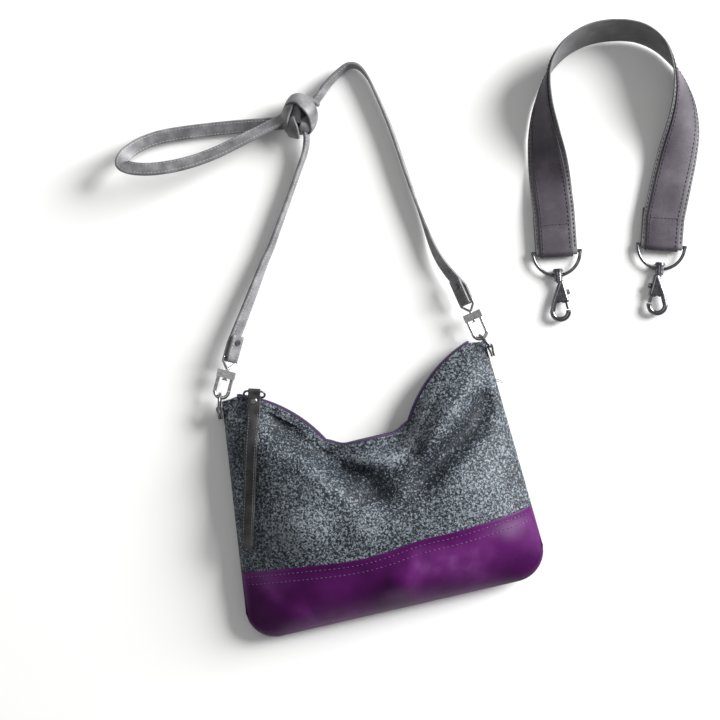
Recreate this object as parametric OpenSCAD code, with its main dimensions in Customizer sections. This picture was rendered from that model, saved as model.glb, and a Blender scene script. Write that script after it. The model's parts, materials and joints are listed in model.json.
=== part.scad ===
// Soft leather zip bag lying on its back, with a knotted crossbody strap
// and a separate short shoulder strap. +X runs along the base, +Y towards
// the mouth and +Z out of the front. The origin is the middle of the flat
// of the back, on the plane that everything rests on.

/* [Bag] */
// Width of the base between its side seams
base_w = 278; // [230:1:320]
// Width of the top between its corners
top_w = 246; // [205:1:285]
// Height from the bottom seam to the top corners
bag_h = 221; // [190:1:265]
// How far the top leans to the right of the base
lean = 7; // [0:0.5:15]
// Radius of the two bottom corners
corner_r = 28; // [15:1:40]
// How far the filled front stands out from the side seams
front_puff = 33; // [18:1:45]
// Height of the side seams above the resting plane
seam_z = 14; // [11:0.5:20]
// Height of the seam between base and upper leather
base_h = 59; // [40:1:80]
// Thickness of the outer leather
leather_t = 1.6; // [1:0.1:2.5]
// Thickness of the lining cloth
lining_t = 0.7; // [0.4:0.1:1]

/* [Zip] */
// Radius of the curve that each half of the sagging mouth follows
mouth_r = 125; // [110:1:145]
// How far the middle of the mouth sags below the top corners
mouth_sag = 66; // [50:1:80]
// How far the mouth gapes at its middle
mouth_gape = 6; // [2:0.5:9]
// Distance from the middle of the zip to the face of the tape
tape_z = 3.6; // [3:0.1:5]
// Thickness of the zip tape
tape_t = 0.8; // [0.5:0.1:1]
// Width of one row of zip teeth along the tape
teeth_w = 2.4; // [1.6:0.1:3]
// Length of the slider
slider_len = 11; // [8:0.5:14]
// Length of the leather pull
pull_len = 142; // [100:1:170]
// Width of the leather pull
pull_w = 11; // [8:0.5:15]

/* [Crossbody strap] */
// Width of the crossbody strap
strap_w = 12.7; // [9:0.1:16]
// Thickness of the crossbody strap
strap_t = 2.6; // [1.8:0.1:3.2]

/* [Swivel clips] */
// Radius of the round wire of the clip
clip_wire_r = 1.7; // [1.3:0.05:2]
// Distance between the centres of the two legs of the clip
clip_legs = 12.6; // [11:0.1:16]
// Length of the clip from its bottom wire to its block
clip_reach = 18.5; // [16:0.5:24]
// Radius of the wire of the strap eye
eye_wire_r = 1.1; // [0.8:0.05:1.4]
// Lean of the left clip towards the middle
left_clip_lean = -28; // [-32:1:-15]
// Lean of the right clip towards the middle
right_clip_lean = 11; // [0:1:15]

/* [Rings] */
// Radius of the wire of the two bag rings
ring_wire_r = 1.25; // [0.9:0.05:1.5]
// Width inside the bag rings
ring_w = 12.7; // [11:0.1:16]

/* [Shoulder strap] */
// Width of the lining layer of the shoulder strap
handle_w = 38; // [30:1:42]
// Width of the face layer of the shoulder strap
face_w = 30; // [22:1:36]
// Thickness of each layer of the shoulder strap
layer_t = 1.6; // [1:0.1:2]
// Space between the two layers, filled by their glue
glue_t = 0.7; // [0.6:0.1:1]

/* [Trigger snaps] */
// Radius of the wire of the strap eye on the snap
snap_eye_r = 1.6; // [1.2:0.1:2]
// Inside radius of the hook of the snap
snap_in = 5; // [4:0.1:6]
// Radius of the wire of the hook
snap_wire_r = 2.4; // [1.8:0.1:2.8]
// Travel of the trigger
trigger_travel = 6; // [3:0.5:7]

/* [Hidden] */

// Named clearances
layer_gap = 0.2;
pin_gap = 0.08;
move_gap = 0.4;
round_fn = 48;

// Height of the origin above the bottom seam
origin_h = 105;
half_base = base_w / 2;
half_top = top_w / 2;
edge_half = lining_t + 2 * layer_gap + 0.1;
mouth_half = tape_z + tape_t + layer_gap / 2;

// The mouth: a level corner, an arc down and a level middle, then the mirror image
arc_out = half_top + 27;
arc_h = bag_h - 118;
arc_top = 68;
arc_end = asin((118 - mouth_sag) / mouth_r) + 4;
arc_foot = arc_out - mouth_r * cos(arc_end);
mouth_left = concat(
    [[-half_top, bag_h - 0.5], [-half_top + 4, bag_h - 0.5], [-half_top + 11, bag_h - 0.6]],
    [for (k = [0:8]) let (a = arc_top + (arc_end - arc_top) * k / 8)
        [-arc_out + mouth_r * cos(a), arc_h + mouth_r * sin(a)]],
    [[-arc_foot + 8, bag_h - mouth_sag + 1], [-arc_foot * 0.45, bag_h - mouth_sag]]);
mouth_row = concat(mouth_left, [[0, bag_h - mouth_sag]],
    [for (k = [len(mouth_left) - 1:-1:0]) [-mouth_left[k][0], mouth_left[k][1]]]);
last_col = len(mouth_row) - 1;

function unit(v) = v / norm(v);
function ease(t) = let (c = min(1, max(0, t))) c * c * (3 - 2 * c);
function blend(a, b, t) = a + (b - a) * t;
function centre_x(h) = lean * h / bag_h;
function half_w(h) = blend(half_base, half_top, max(0, h - corner_r) / (bag_h - corner_r));
function share(i) = mouth_row[i][0] / half_top;
function mouth_pt(i) = [mouth_row[i][0] + lean, mouth_row[i][1]];
function corner_drop(s) = let (over = max(0, abs(s) * half_base - (half_base - corner_r)))
    corner_r - sqrt(corner_r * corner_r - over * over);
function bottom_pt(i) = let (s = share(i), h = corner_drop(s)) [centre_x(h) + s * half_base, h];
function seam_h(s) = base_h + 6 * s * s;
function seam_pt(i) = let (s = share(i), h = seam_h(s)) [centre_x(h) + s * half_w(h), h];

// Distance from the middle plane to the inside of the outer leather
function mouth_gap(s) = let (m = abs(s) < 0.78 ? 1 : ease((1 - abs(s)) / 0.22),
        v = max(0, 1 - pow(s / 0.3, 2)))
    blend(edge_half, mouth_half, m) + mouth_gape * v * v;
function fill(s, h, low) = (1 - pow(abs(s), 3)) * (1 - pow(1 - min(1, max(0, h - low) / 50), 2.4));
function side_gap(s, h, low, top, puff) = let (m = ease((top - h) / 45))
    blend(mouth_gap(s), edge_half + puff * fill(s, h, low), m);
function front_gap(i, h) =
    side_gap(share(i), h, bottom_pt(i)[1], mouth_row[i][1], front_puff);
// Outside of the front at any place on it
mouth_table = [for (i = [0:last_col]) mouth_pt(i)];
function front_top(x, h) = let (s = min(1, max(-1, (x - centre_x(h)) / half_w(h))))
    seam_z + leather_t + side_gap(s, h, corner_drop(s), lookup(x, mouth_table), front_puff);
function back_gap(i, h) = min(seam_z - leather_t,
    side_gap(share(i), h, bottom_pt(i)[1], mouth_row[i][1], 30));

// A sheet between two grids of points, the first one above the second
module sheet(high, low) {
    rows = len(high);
    cols = len(high[0]);
    n = rows * cols;
    rim = concat([for (i = [0:cols - 2]) i], [for (j = [0:rows - 2]) j * cols + cols - 1],
        [for (i = [cols - 1:-1:1]) (rows - 1) * cols + i], [for (j = [rows - 1:-1:1]) j * cols]);
    polyhedron(concat([for (r = high) each r], [for (r = low) each r]),
        concat(
            [for (j = [0:rows - 2], i = [0:cols - 2]) let (a = j * cols + i)
                each [[a, a + cols, a + cols + 1], [a, a + cols + 1, a + 1]]],
            [for (j = [0:rows - 2], i = [0:cols - 2]) let (a = n + j * cols + i)
                each [[a, a + cols + 1, a + cols], [a, a + 1, a + cols + 1]]],
            [for (k = [0:len(rim) - 1]) let (a = rim[k], b = rim[(k + 1) % len(rim)])
                each [[a, b, b + n], [a, b + n, a + n]]]),
        convexity = 6);
}

// A band swept through rings of points that turn anticlockwise about the travel
module band(rings) {
    m = len(rings[0]);
    n = len(rings);
    polyhedron([for (r = rings) each r],
        concat(
            [for (k = [0:n - 2], i = [0:m - 1]) let (a = k * m + i, b = k * m + (i + 1) % m)
                each [[a + m, b + m, b], [a + m, b, a]]],
            [for (i = [0:m / 2 - 2]) each [[i, i + 1, m - 2 - i], [i, m - 2 - i, m - 1 - i]]],
            [for (i = [0:m / 2 - 2]) let (e = (n - 1) * m)
                each [[e + i, e + m - 2 - i, e + i + 1], [e + i, e + m - 1 - i, e + m - 2 - i]]]),
        convexity = 6);
}

function spline(a, b, c, d, t) = 0.5 * (2 * b + (c - a) * t
    + (2 * a - 5 * b + 4 * c - d) * t * t + (3 * b - a - 3 * c + d) * t * t * t);
function smooth_route(p, n) = [for (i = [0:len(p) - 2], k = [0:n - 1])
        spline(p[max(i - 1, 0)], p[i], p[i + 1], p[min(i + 2, len(p) - 1)], k / n),
    p[len(p) - 1]];
function xyz(q) = [q[0], q[1], q[2]];
function way(r, k) = unit(xyz(r[min(k + 1, len(r) - 1)]) - xyz(r[max(k - 1, 0)]));
// Across and face directions of a band, from its tilt away from standing on edge
function across(t, tilt) = let (side = unit(cross(t, [0, 0, 1])))
    cos(tilt) * cross(side, t) + sin(tilt) * side;
function strip_ring(p, t, w, width, low, high, cuts) = let (f = cross(w, t))
    concat([for (k = [0:cuts]) p + w * width * (k / cuts - 0.5) + f * high],
        [for (k = [cuts:-1:0]) p + w * width * (k / cuts - 0.5) + f * low]);
function strip(route, width, low, high, cuts) = [for (k = [0:len(route) - 1])
    let (t = way(route, k)) strip_ring(xyz(route[k]), t, across(t, route[k][3]), width, low, high, cuts)];

// ---- Bag ----

base_steps = [0, 0.1, 0.25, 0.45, 0.7, 1];
upper_steps = [0, 0.2, 0.4, 0.58, 0.72, 0.83, 0.92, 1];
function along(i, steps, from_seam) = [for (t = steps)
    from_seam ? blend(seam_pt(i), mouth_pt(i), t) : blend(bottom_pt(i), seam_pt(i), t)];
function front_grid(steps, from_seam, off) = [for (j = [0:len(steps) - 1])
    [for (i = [0:last_col]) let (p = along(i, steps, from_seam)[j])
        [p[0], p[1], seam_z + front_gap(i, p[1]) + off]]];
function back_grid(steps, from_seam, off) = [for (j = [0:len(steps) - 1])
    [for (i = [0:last_col]) let (p = along(i, steps, from_seam)[j])
        [p[0], p[1], seam_z - back_gap(i, p[1]) + off]]];

module front_upper_panel() {
    color("#3b4752") sheet(front_grid(upper_steps, true, leather_t), front_grid(upper_steps, true, 0));
}
module back_upper_panel() {
    color("#3b4752") sheet(back_grid(upper_steps, true, 0), back_grid(upper_steps, true, -leather_t));
}
module front_base_panel() {
    color("#4a1a50") sheet(front_grid(base_steps, false, leather_t), front_grid(base_steps, false, 0));
}
module back_base_panel() {
    color("#4a1a50") sheet(back_grid(base_steps, false, 0), back_grid(base_steps, false, -leather_t));
}

// The lining keeps the leather's own grid lines and stops one row short of the mouth
function lining_rows(grid_low, grid_high) = concat([for (j = [0:len(base_steps) - 1]) grid_low[j]],
    [for (j = [1:len(upper_steps) - 2]) grid_high[j]]);
module front_lining() {
    function grid(off) = lining_rows(front_grid(base_steps, false, off), front_grid(upper_steps, true, off));
    color("#8a8d92") sheet(grid(-2 * layer_gap), grid(-2 * layer_gap - lining_t));
}
module back_lining() {
    function grid(off) = lining_rows(back_grid(base_steps, false, off), back_grid(upper_steps, true, off));
    color("#8a8d92") sheet(grid(2 * layer_gap + lining_t), grid(2 * layer_gap));
}

// Zip tapes and teeth follow the mouth row, offset square to it
zip_first = 2;
zip_last = last_col - 2;
teeth_low = 1;
teeth_z = tape_z - 2;
stop_half = 1.8;
function mouth_normal(i) = let (t = unit(mouth_pt(min(i + 1, last_col)) - mouth_pt(max(i - 1, 0))))
    [-t[1], t[0]];
function zip_row(off, z, first, last, sign) = [for (i = [first:last])
    let (p = mouth_pt(i) + mouth_normal(i) * off)
        [p[0], p[1], seam_z + sign * (mouth_gap(share(i)) - mouth_half + z)]];
module zip_band(low, high, z_in, z_out, sign, trim) {
    a = sign > 0 ? z_out : z_in;
    b = sign > 0 ? z_in : z_out;
    sheet([for (o = [low, high]) zip_row(o, a, zip_first + trim, zip_last - trim, sign)],
        [for (o = [low, high]) zip_row(o, b, zip_first + trim, zip_last - trim, sign)]);
}
module front_zip_tape() {
    color("#6a4a80") zip_band(-6, teeth_low + teeth_w, tape_z, tape_z + tape_t, 1, 0);
}
module back_zip_tape() {
    color("#6a4a80") zip_band(-6, teeth_low + teeth_w, tape_z, tape_z + tape_t, -1, 0);
}
module front_zip_teeth() {
    color("#33313a") zip_band(teeth_low, teeth_low + teeth_w, teeth_z, tape_z - 0.05, 1, 1);
}
module back_zip_teeth() {
    color("#33313a") zip_band(teeth_low, teeth_low + teeth_w, teeth_z, tape_z - 0.05, -1, 1);
}
module zip_stop(i, step) {
    p = mouth_pt(i) + mouth_normal(i) * (teeth_low + teeth_w / 2);
    color("#5a5a5e") translate([p[0] + step, p[1], seam_z])
        cube([2.4, teeth_w + 1, 2 * stop_half], center = true);
}
module zip_start_stop() zip_stop(zip_first + 1, -1.5);
module zip_end_stop() zip_stop(zip_last - 1, 1.5);

// ---- Slider and pull ----

slider_at = 63.5;
arc_centre = [lean - arc_out, arc_h];
row_r = mouth_r + teeth_low + teeth_w / 2;
slider_half = slider_len / row_r * 90 / PI;
plate_in = row_r + teeth_w / 2 + move_gap;
bridge_half = teeth_z - move_gap;
cheek = tape_z + tape_t + move_gap;
lug_out = cheek + 5.6;
lug_r = plate_in - 1;
function slider_pt(r, a) = [arc_centre[0] + r * cos(a), arc_centre[1] + r * sin(a)];

module on_arc(a0, a1) {
    translate([arc_centre[0], arc_centre[1], seam_z]) rotate([0, 0, a0])
        rotate_extrude(angle = a1 - a0, $fn = 180) children();
}
pull_hole = 1.3;
module zip_slider() {
    color("#4b4b50") union() {
        on_arc(slider_at - slider_half, slider_at + slider_half) union() {
            translate([plate_in, -cheek - 1]) square([1.4, 2 * cheek + 2]);
            translate([row_r - teeth_w / 2 - 1.9, -bridge_half]) square([teeth_w + 4, 2 * bridge_half]);
            translate([row_r - teeth_w / 2 - 1.9, -tape_z + 0.6]) square([1.4, 2 * tape_z - 1.2]);
        }
        difference() {
            on_arc(slider_at - 1, slider_at + 1)
                translate([plate_in - 2.6, cheek]) square([4, lug_out - cheek]);
            at_pull() rotate([0, 90, 0]) cylinder(r = pull_hole, h = 20, center = true, $fn = round_fn);
        }
    }
}

// Local frame of the pull: x along its bars, y out of the mouth, origin on the ring's lower bar
pull_base = concat(slider_pt(lug_r + 0.4, slider_at), [seam_z + lug_out - 2.2]);
pull_hang = 11;
pull_turn = slider_at - 90 + pull_hang;
ring_rise = 7;
ring_half = pull_w / 2 + 0.5 + ring_rise / 2;
ring_tip = 38;
bar_r = 1;
module at_pull() translate(pull_base) rotate([0, 0, pull_turn]) children();
module wire_loop(half, rise, r) {
    for (s = [-1, 1]) {
        translate([0, rise / 2 + s * rise / 2, 0]) rotate([0, 90, 0])
            cylinder(r = r, h = 2 * (half - rise / 2), center = true, $fn = round_fn);
        translate([s * (half - rise / 2), rise / 2, 0]) rotate([0, 0, s * -90])
            rotate_extrude(angle = 180, $fn = round_fn)
                translate([rise / 2, 0]) circle(r = r, $fn = round_fn);
    }
}
module zip_pull_ring() {
    color("#4b4b50") at_pull() rotate([ring_tip, 0, 0]) wire_loop(ring_half, ring_rise, bar_r);
}

// The leather folds over the upper bar and hangs down the front
pull_bar = [0, ring_rise * cos(ring_tip), ring_rise * sin(ring_tip)];
pull_t = 2.6;
fold_in = bar_r + 0.2;
fold_t = 1.3;
pull_over = 1.4;
rivet_at = 9;
lay_from = 16;
rivet_r = 1.4;
module at_bar() at_pull() translate(pull_bar) children();
bar_place = pull_base + [-sin(pull_turn) * pull_bar[1], cos(pull_turn) * pull_bar[1], pull_bar[2]];
// One ring of the hanging leather, in its own frame, at a distance down from the bar
function pull_ring(t) = let (u = [cos(pull_turn), sin(pull_turn)], d = [sin(pull_turn), -cos(pull_turn)],
        c = [bar_place[0], bar_place[1]] + d * t, e = ease((t - lay_from) / 24), a = c - u * pull_w / 2,
        b = c + u * pull_w / 2, ha = front_top(a[0], a[1]), hb = front_top(b[0], b[1]),
        rise = e * (hb - ha), w = unit([pull_w, 0, rise]),
        mid = blend(0, max(front_top(c[0], c[1]), (ha + hb) / 2) + pull_over + pull_t / 2 - bar_place[2], e))
    strip_ring([0, -t, mid], [0, -1, 0], -w, pull_w, -pull_t / 2, pull_t / 2, 2);
module zip_pull_strap() {
    color("#3d3c3e") at_bar() difference() {
        union() {
            rotate([0, 90, 0]) cylinder(r = fold_in + fold_t, h = pull_w, center = true, $fn = round_fn);
            band([for (t = concat([1.8], [for (k = [0:12]) lay_from + (pull_len - lay_from) * k / 12]))
                pull_ring(t)]);
        }
        rotate([0, 90, 0]) cylinder(r = fold_in, h = pull_w + 1, center = true, $fn = round_fn);
        translate([0, -rivet_at, -6]) cylinder(r = rivet_r, h = 12, $fn = round_fn);
    }
}
module zip_pull_rivet() {
    color("#77777c") at_bar() translate([0, -rivet_at, 0]) {
        cylinder(r = rivet_r, h = pull_t, center = true, $fn = round_fn);
        translate([0, 0, pull_t / 2]) cylinder(r1 = 3.2, r2 = 2.2, h = 0.9, $fn = round_fn);
        translate([0, 0, -pull_t / 2 - 0.6]) cylinder(r = 2.8, h = 0.6, $fn = round_fn);
    }
}

// ---- Rings and tabs ----

ring_bar_h = bag_h - 6.5;
ring_rise_h = 14;
ring_mid = ring_w / 2 + ring_wire_r;
tab_t = 1.4;
tab_w = ring_w - 2;
tab_hole = ring_wire_r + pin_gap;
tab_len = 9;
tab_out = tab_hole + tab_t;
left_ring_lean = -16;
right_ring_lean = 30;
side_angle = atan2(half_base - half_top, bag_h - corner_r);
function bar_pt(side) = [centre_x(ring_bar_h) + side * (half_w(ring_bar_h) + tab_out + move_gap), ring_bar_h,
    seam_z];

module ring_tab(side) {
    color("#46484c") translate(bar_pt(side)) rotate([0, 0, side * side_angle]) translate([0, 0, -tab_w / 2])
        linear_extrude(tab_w) difference() {
            union() {
                circle(r = tab_out, $fn = round_fn);
                translate([-tab_out, -tab_len]) square([2 * tab_out, tab_len]);
            }
            circle(r = tab_hole, $fn = round_fn);
        }
}
module left_ring_tab() ring_tab(-1);
module right_ring_tab() ring_tab(1);

module bag_ring(side, tilt) {
    color("#56565b") translate(bar_pt(side)) rotate([0, 0, tilt]) rotate([0, 90, 0]) union() {
        rotate([0, 90, 0])
            cylinder(r = ring_wire_r, h = 2 * (ring_mid + ring_wire_r), center = true, $fn = round_fn);
        for (s = [-1, 1]) translate([s * ring_mid, 0, 0]) rotate([-90, 0, 0])
            cylinder(r = ring_wire_r - 0.05, h = ring_rise_h - ring_mid, $fn = round_fn);
        translate([0, ring_rise_h - ring_mid, 0]) rotate_extrude(angle = 180, $fn = round_fn)
            translate([ring_mid, 0]) circle(r = ring_wire_r - 0.05, $fn = round_fn);
    }
}
module left_bag_ring() bag_ring(-1, left_ring_lean);
module right_bag_ring() bag_ring(1, right_ring_lean);

// ---- Swivel clips, each in a frame with its bottom wire at the origin and +Y along the clip ----

link_gap = 0.8;
hook_h = ring_rise_h - ring_wire_r - clip_wire_r - link_gap;
function hook_pt(side, tilt) = bar_pt(side) + hook_h * [-sin(tilt), cos(tilt), 0];
left_hook = hook_pt(-1, left_ring_lean);
right_hook = hook_pt(1, right_ring_lean);
leg = clip_legs / 2;
block_w = clip_legs + 2 * clip_wire_r + 0.6;
block_h = 7;
block_t = 6.4;
post_r = 1.6;
eye_turn = 45;
eye_bar_at = clip_reach + block_h + 12;
eye_half = strap_w / 2 + 1.6;
gate_low = 7.5;
gate_top = clip_reach + 2.6;
gate_r = clip_wire_r - 0.1;
gate_pin_r = 0.7;
module at_clip(side) {
    translate(side < 0 ? left_hook : right_hook)
        rotate([0, 0, side < 0 ? left_clip_lean : right_clip_lean]) children();
}
// The gate is on the side of the clip that faces the middle of the bag
module clip_body(side) {
    g = -side;
    color("#6c6c70") at_clip(side) difference() {
        union() {
            rotate([0, 0, 180]) translate([0, -leg, 0]) rotate_extrude(angle = 180, $fn = round_fn)
                translate([leg, 0]) circle(r = clip_wire_r, $fn = round_fn);
            translate([-g * leg, leg, 0]) rotate([-90, 0, 0])
                cylinder(r = clip_wire_r, h = clip_reach - leg + 1, $fn = round_fn);
            translate([g * leg, leg, 0]) rotate([-90, 0, 0])
                cylinder(r = clip_wire_r, h = gate_low - leg, $fn = round_fn);
            translate([-block_w / 2, clip_reach, -block_t / 2]) cube([block_w, block_h, block_t]);
        }
        // Slot for the gate and hole for its pin
        translate([g * leg - 2.6, clip_reach - 1, -gate_r - 0.25]) cube([5.2, 6.2, 2 * gate_r + 0.5]);
        translate([g * leg, gate_top, -6]) cylinder(r = gate_pin_r, h = 12, $fn = round_fn);
        // Bore for the post of the eye
        translate([0, clip_reach - 1, 0]) rotate([-90, 0, 0])
            cylinder(r = post_r + pin_gap, h = block_h + 2, $fn = round_fn);
    }
}
module left_clip_body() clip_body(-1);
module right_clip_body() clip_body(1);

module clip_gate(side) {
    g = -side;
    color("#7a7a7e") at_clip(side) translate([g * leg, 0, 0]) difference() {
        union() {
            translate([0, gate_low + 0.3, 0]) rotate([-90, 0, 0])
                cylinder(r = gate_r, h = gate_top - gate_low - 0.3, $fn = round_fn);
            translate([0, gate_top, -gate_r]) cylinder(r = 1.5, h = 2 * gate_r, $fn = round_fn);
        }
        translate([0, gate_top, -6]) cylinder(r = gate_pin_r + pin_gap, h = 12, $fn = round_fn);
        // Room for the spring in the middle of the knuckle
        translate([0, gate_top, -0.75]) cylinder(r = 2, h = 1.5, $fn = round_fn);
    }
}
module left_clip_gate() clip_gate(-1);
module right_clip_gate() clip_gate(1);

module gate_pin(side) {
    color("#88888c") at_clip(side) translate([-side * leg, gate_top, -block_t / 2])
        cylinder(r = gate_pin_r, h = block_t, $fn = round_fn);
}
module left_gate_pin() gate_pin(-1);
module right_gate_pin() gate_pin(1);
module gate_spring(side) {
    color("#a0a0a4") at_clip(side) translate([-side * leg, gate_top, 0])
        for (k = [-1, 0, 1]) translate([0, 0, k * 0.4]) rotate_extrude($fn = round_fn)
            translate([gate_pin_r + 0.3, 0]) circle(r = 0.2, $fn = round_fn);
}
module left_gate_spring() gate_spring(-1);
module right_gate_spring() gate_spring(1);

module strap_eye(side) {
    post_top = clip_reach + block_h + 1.6;
    color("#6c6c70") at_clip(side) rotate([0, side * -eye_turn, 0]) union() {
        translate([0, clip_reach - 1.2, 0]) rotate([-90, 0, 0])
            cylinder(r = post_r, h = block_h + 3.2, $fn = round_fn);
        translate([0, clip_reach - 2.2, 0]) rotate([-90, 0, 0])
            cylinder(r = post_r + 0.9, h = 1.2, $fn = round_fn);
        for (s = [-1, 1]) {
            hull() {
                translate([s * 0.6, post_top, 0]) sphere(r = eye_wire_r + 0.2, $fn = 24);
                translate([s * eye_half, eye_bar_at - 4, 0]) sphere(r = eye_wire_r, $fn = 24);
            }
            translate([s * eye_half, eye_bar_at - 4, 0]) rotate([-90, 0, 0])
                cylinder(r = eye_wire_r, h = 4, $fn = round_fn);
            translate([s * eye_half, eye_bar_at, 0]) sphere(r = eye_wire_r, $fn = round_fn);
        }
        translate([0, eye_bar_at, 0]) rotate([0, 90, 0])
            cylinder(r = eye_wire_r, h = 2 * eye_half, center = true, $fn = round_fn);
    }
}
module left_strap_eye() strap_eye(-1);
module right_strap_eye() strap_eye(1);

// ---- Crossbody strap ----

// Frame of a clip: its start, its length direction, and the two directions of the turned strap end
function clip_way(side) = let (a = side < 0 ? left_clip_lean : right_clip_lean) [-sin(a), cos(a), 0];
function end_bar(side) = (side < 0 ? left_hook : right_hook) + clip_way(side) * eye_bar_at;
function end_across(side) = let (a = side < 0 ? left_clip_lean : right_clip_lean)
    cos(eye_turn) * [cos(a), sin(a), 0] + side * sin(eye_turn) * [0, 0, 1];
function end_face(side) = let (w = end_across(side), f = cross(w, clip_way(side))) f * sign(f[2]);
wrap_r = eye_wire_r + 0.3 + strap_t / 2;
tail_len = 21;
// The strap end: tail tip, down to the eye, round its bar and up the other side
function end_path(side) = let (b = end_bar(side), y = clip_way(side), f = end_face(side))
    concat([for (t = [tail_len, tail_len / 2, 0]) b + f * wrap_r + y * t],
        [for (a = [30:30:150]) b + wrap_r * (f * cos(a) - y * sin(a))],
        [for (t = [0, tail_len / 2, tail_len]) b - f * wrap_r + y * t]);
function end_rings(side) = let (p = end_path(side), w0 = end_across(side))
    [for (k = [0:len(p) - 1]) let (t = way(p, k), w = w0 * sign(w0[2]))
        strip_ring(p[k], t, w, strap_w, -strap_t / 2, strap_t / 2, 1)];

// Routes by hand: x, height above the bottom seam, z, tilt away from standing on edge
left_route = [[-73, 300, 11, -38], [-56, 328, 8, -26], [-41, 348, 7, -18], [-26, 371, 6.8, -13],
    [-13, 391, 6.8, -11], [-1, 410, 7, -11], [9, 426, 9, -14], [14, 440, 12, -20], [13, 450, 13, -26]];
right_route = [[21, 463, 14, 28], [33, 472, 12, 24], [44, 482, 9, 20], [56, 490, 7, 17],
    [65, 494, 6.8, 13], [73, 492, 6.8, 8], [78, 485, 6.8, 2], [82, 474, 6.8, -5],
    [87, 450, 6.8, -9], [91, 425, 6.8, -10], [94, 396, 6.8, -10], [97, 367, 6.8, -8],
    [100, 341, 7, 2], [103, 316, 8, 18], [106, 292, 11, 34]];
loop_route = [[-2, 456, 7, 50], [-36, 461, 7, 62], [-74, 466, 7, 66], [-110, 469, 8, 66],
    [-132, 467, 11, 66], [-147, 461, 17, 66], [-154, 454, 24, 66], [-153, 448, 29, 66],
    [-142, 442, 33, 66], [-124, 438, 34, 66], [-100, 437, 33, 64], [-74, 440, 29, 62],
    [-46, 447, 23, 58], [-18, 455, 17, 54], [0, 460, 14, 50]];
knot_at = [12, 458, 13.4];
knot_r = 13;
knot_half = 5;
knot_turn = 15;

module strap_run(side, route) {
    mid = smooth_route(route, 3);
    color("#9a9a9c") band(concat(end_rings(side),
        [for (k = [0:len(mid) - 1]) let (t = way(mid, k))
            strip_ring(xyz(mid[k]), t, across(t, mid[k][3]), strap_w, -strap_t / 2, strap_t / 2, 1)]));
}
module left_strap_run() strap_run(-1, left_route);
module right_strap_run() strap_run(1, [for (k = [len(right_route) - 1:-1:0]) right_route[k]]);
module strap_loop() {
    color("#9a9a9c") band(strip(smooth_route(loop_route, 2), strap_w, -strap_t / 2, strap_t / 2, 1));
}
module strap_knot() {
    color("#8c8c8e") translate(knot_at) rotate([0, 0, knot_turn]) hull() {
        for (k = [-1, 1]) translate([0, k * knot_half, 0]) sphere(r = knot_r, $fn = 24);
    }
}
module strap_stud(side) {
    b = end_bar(side) + clip_way(side) * 15;
    f = end_face(side);
    a = side < 0 ? left_clip_lean : right_clip_lean;
    color("#66666a") translate(b) rotate([0, 0, a]) rotate([0, side * eye_turn * -1, 0]) union() {
        cylinder(r = 1.2, h = 2 * (wrap_r + strap_t / 2) + 1, center = true, $fn = round_fn);
        for (s = [-1, 1]) translate([0, 0, s * (wrap_r + strap_t / 2 + 0.5)])
            cylinder(r = 2.6, h = 1, center = true, $fn = round_fn);
    }
}
module left_strap_stud() strap_stud(-1);
module right_strap_stud() strap_stud(1);

// ---- Shoulder strap: x, height above the bottom seam, z, tilt ----

fold_core = snap_eye_r + 0.1;
fold_out = fold_core + 2 * layer_t;
handle_z = fold_core + 2 * layer_t;
left_end = [213, 285, handle_z];
right_end = [308, 269, handle_z];
left_end_turn = -9;
right_end_turn = -17;
stub = 34;
arch_route = [[219, 324, 8.2, 89], [221, 344, 7.6, 84], [223, 368, 10.6, 64], [225, 394, 15.6, 42],
    [230, 421, 19.2, 18], [241, 446, 19.8, -4], [259, 463, 19.8, -15],
    [282, 471, 19.6, -20], [307, 470, 19.6, -20], [330, 462, 19.8, -16],
    [346, 446, 19.8, -6], [354, 423, 19.6, 14], [356, 398, 16.8, 38], [351, 371, 11.4, 62],
    [340, 345, 7.8, 82], [328, 320, 7.8, 89]];
arch = smooth_route(arch_route, 3);
module at_end(side) {
    translate(side < 0 ? left_end : right_end)
        rotate([0, 0, side < 0 ? left_end_turn : right_end_turn]) children();
}
function end_start(side, t, z) = let (e = side < 0 ? left_end : right_end,
        a = side < 0 ? left_end_turn : right_end_turn)
    [e[0] - sin(a) * t, e[1] + cos(a) * t, z, 90];
front_z = handle_z + fold_core + layer_t;
function handle_path() = concat(
    [for (t = [5, 15, 25]) end_start(-1, t, front_z)], [for (q = arch) q],
    [for (t = [25, 15, 5]) end_start(1, t, front_z)]);
module handle_face() {
    color("#5f5862") band(strip(handle_path(), face_w, glue_t / 2, glue_t / 2 + layer_t, 4));
}
module handle_lining() {
    color("#77767a") band(strip(handle_path(), handle_w, -glue_t / 2 - layer_t, -glue_t / 2, 4));
}
// The end folds round the bar of the eye and comes back underneath
module handle_fold(side) {
    color("#5f5862") at_end(side) rotate([0, 90, 0]) translate([0, 0, -handle_w / 2])
        linear_extrude(handle_w) difference() {
            union() {
                circle(r = fold_out, $fn = round_fn);
                translate([fold_core, 0]) square([2 * layer_t, stub]);
                translate([-fold_out, 0]) square([2 * layer_t, 4.8]);
            }
            circle(r = fold_core, $fn = round_fn);
            translate([-fold_core, 0]) square([2 * fold_core, stub + 1]);
        }
}
module left_handle_fold() handle_fold(-1);
module right_handle_fold() handle_fold(1);

// ---- Trigger snaps: local frame has the eye's bar at the origin and the hook along -Y ----

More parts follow.
